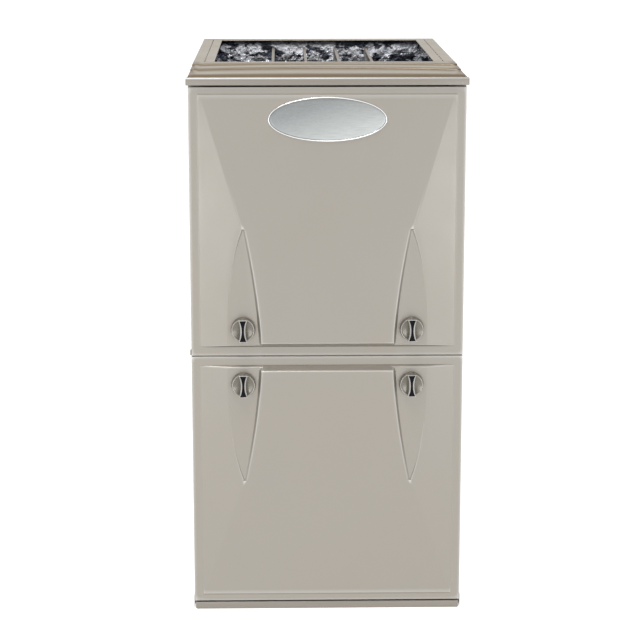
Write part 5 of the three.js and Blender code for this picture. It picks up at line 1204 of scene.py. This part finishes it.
def backdrop_world():
    """White for the camera and in reflections, and a plain soft level for everything else."""
    world = bpy.data.worlds.new("studio")
    bpy.context.scene.world = world
    world.use_nodes = True
    nodes, links = world.node_tree.nodes, world.node_tree.links
    nodes.clear()
    out = nodes.new("ShaderNodeOutputWorld")
    mix = nodes.new("ShaderNodeMixShader")
    soft = nodes.new("ShaderNodeBackground")
    white = nodes.new("ShaderNodeBackground")
    path = nodes.new("ShaderNodeLightPath")
    either = nodes.new("ShaderNodeMath")
    either.operation = "MAXIMUM"
    all_three = nodes.new("ShaderNodeMath")
    all_three.operation = "MAXIMUM"
    soft.inputs["Color"].default_value = (1, 1, 1, 1)
    soft.inputs["Strength"].default_value = SOFT_LEVEL
    white.inputs["Strength"].default_value = 1
    white.inputs["Color"].default_value = (1, 1, 1, 1)
    links.new(path.outputs["Is Camera Ray"], either.inputs[0])
    links.new(path.outputs["Is Glossy Ray"], either.inputs[1])
    links.new(either.outputs[0], all_three.inputs[0])
    links.new(path.outputs["Is Transmission Ray"], all_three.inputs[1])
    links.new(all_three.outputs[0], mix.inputs["Fac"])
    links.new(soft.outputs[0], mix.inputs[1])
    links.new(white.outputs[0], mix.inputs[2])
    links.new(mix.outputs[0], out.inputs["Surface"])


def floor():
    """Pale floor that is white to the camera, but for the object's shadow."""
    bpy.ops.mesh.primitive_plane_add(size=60, location=(0, 0, -0.0005))
    plane = bpy.context.object
    plane.name = "floor"
    material = bpy.data.materials.new("floor")
    material.use_nodes = True
    nodes, links = material.node_tree.nodes, material.node_tree.links
    shader = nodes["Principled BSDF"]
    shader.inputs["Base Color"].default_value = (*FLOOR_COLOR, 1)
    shader.inputs["Roughness"].default_value = 0.9
    shader.inputs["Specular IOR Level"].default_value = 0.0
    path = nodes.new("ShaderNodeLightPath")
    either = nodes.new("ShaderNodeMath")
    either.operation = "MAXIMUM"
    links.new(path.outputs["Is Camera Ray"], either.inputs[0])
    links.new(path.outputs["Is Glossy Ray"], either.inputs[1])
    glow = nodes.new("ShaderNodeMath")
    glow.operation = "MULTIPLY"
    glow.inputs[1].default_value = FLOOR_GLOW
    links.new(either.outputs[0], glow.inputs[0])
    shader.inputs["Emission Color"].default_value = (1, 1, 1, 1)
    links.new(glow.outputs[0], shader.inputs["Emission Strength"])
    plane.data.materials.append(material)


def lamp(name, place_at, aim, size, power, color=(1, 1, 1)):
    data = bpy.data.lights.new(name, "AREA")
    data.shape = "RECTANGLE"
    data.size, data.size_y = size
    data.energy = power
    data.color = color
    light = bpy.data.objects.new(name, data)
    light.location = place_at
    light.rotation_euler = (Vector(aim) - Vector(place_at)).to_track_quat("-Z", "Y").to_euler()
    bpy.context.scene.collection.objects.link(light)


backdrop_world()
floor()
lamp("left_softbox", (-1.4, -3.3, 0.36), (0, -0.3, 0.4), SOFTBOX_SIZE, SOFTBOX_POWER, COOL)
lamp("right_softbox", (1.5, -3.25, 0.36), (0, -0.3, 0.4), SOFTBOX_SIZE, SOFTBOX_POWER, COOL)
lamp("top_strip", (-0.45, -0.75, 2.5), (0, -0.3, 0.85), (1.8, 0.4), 10)
lamp("high_strip", (-0.7, -1.7, 2.9), (0, -0.37, 0.6), (1.4, 0.15), 12)

scene = bpy.context.scene
scene.view_settings.view_transform = "Standard"
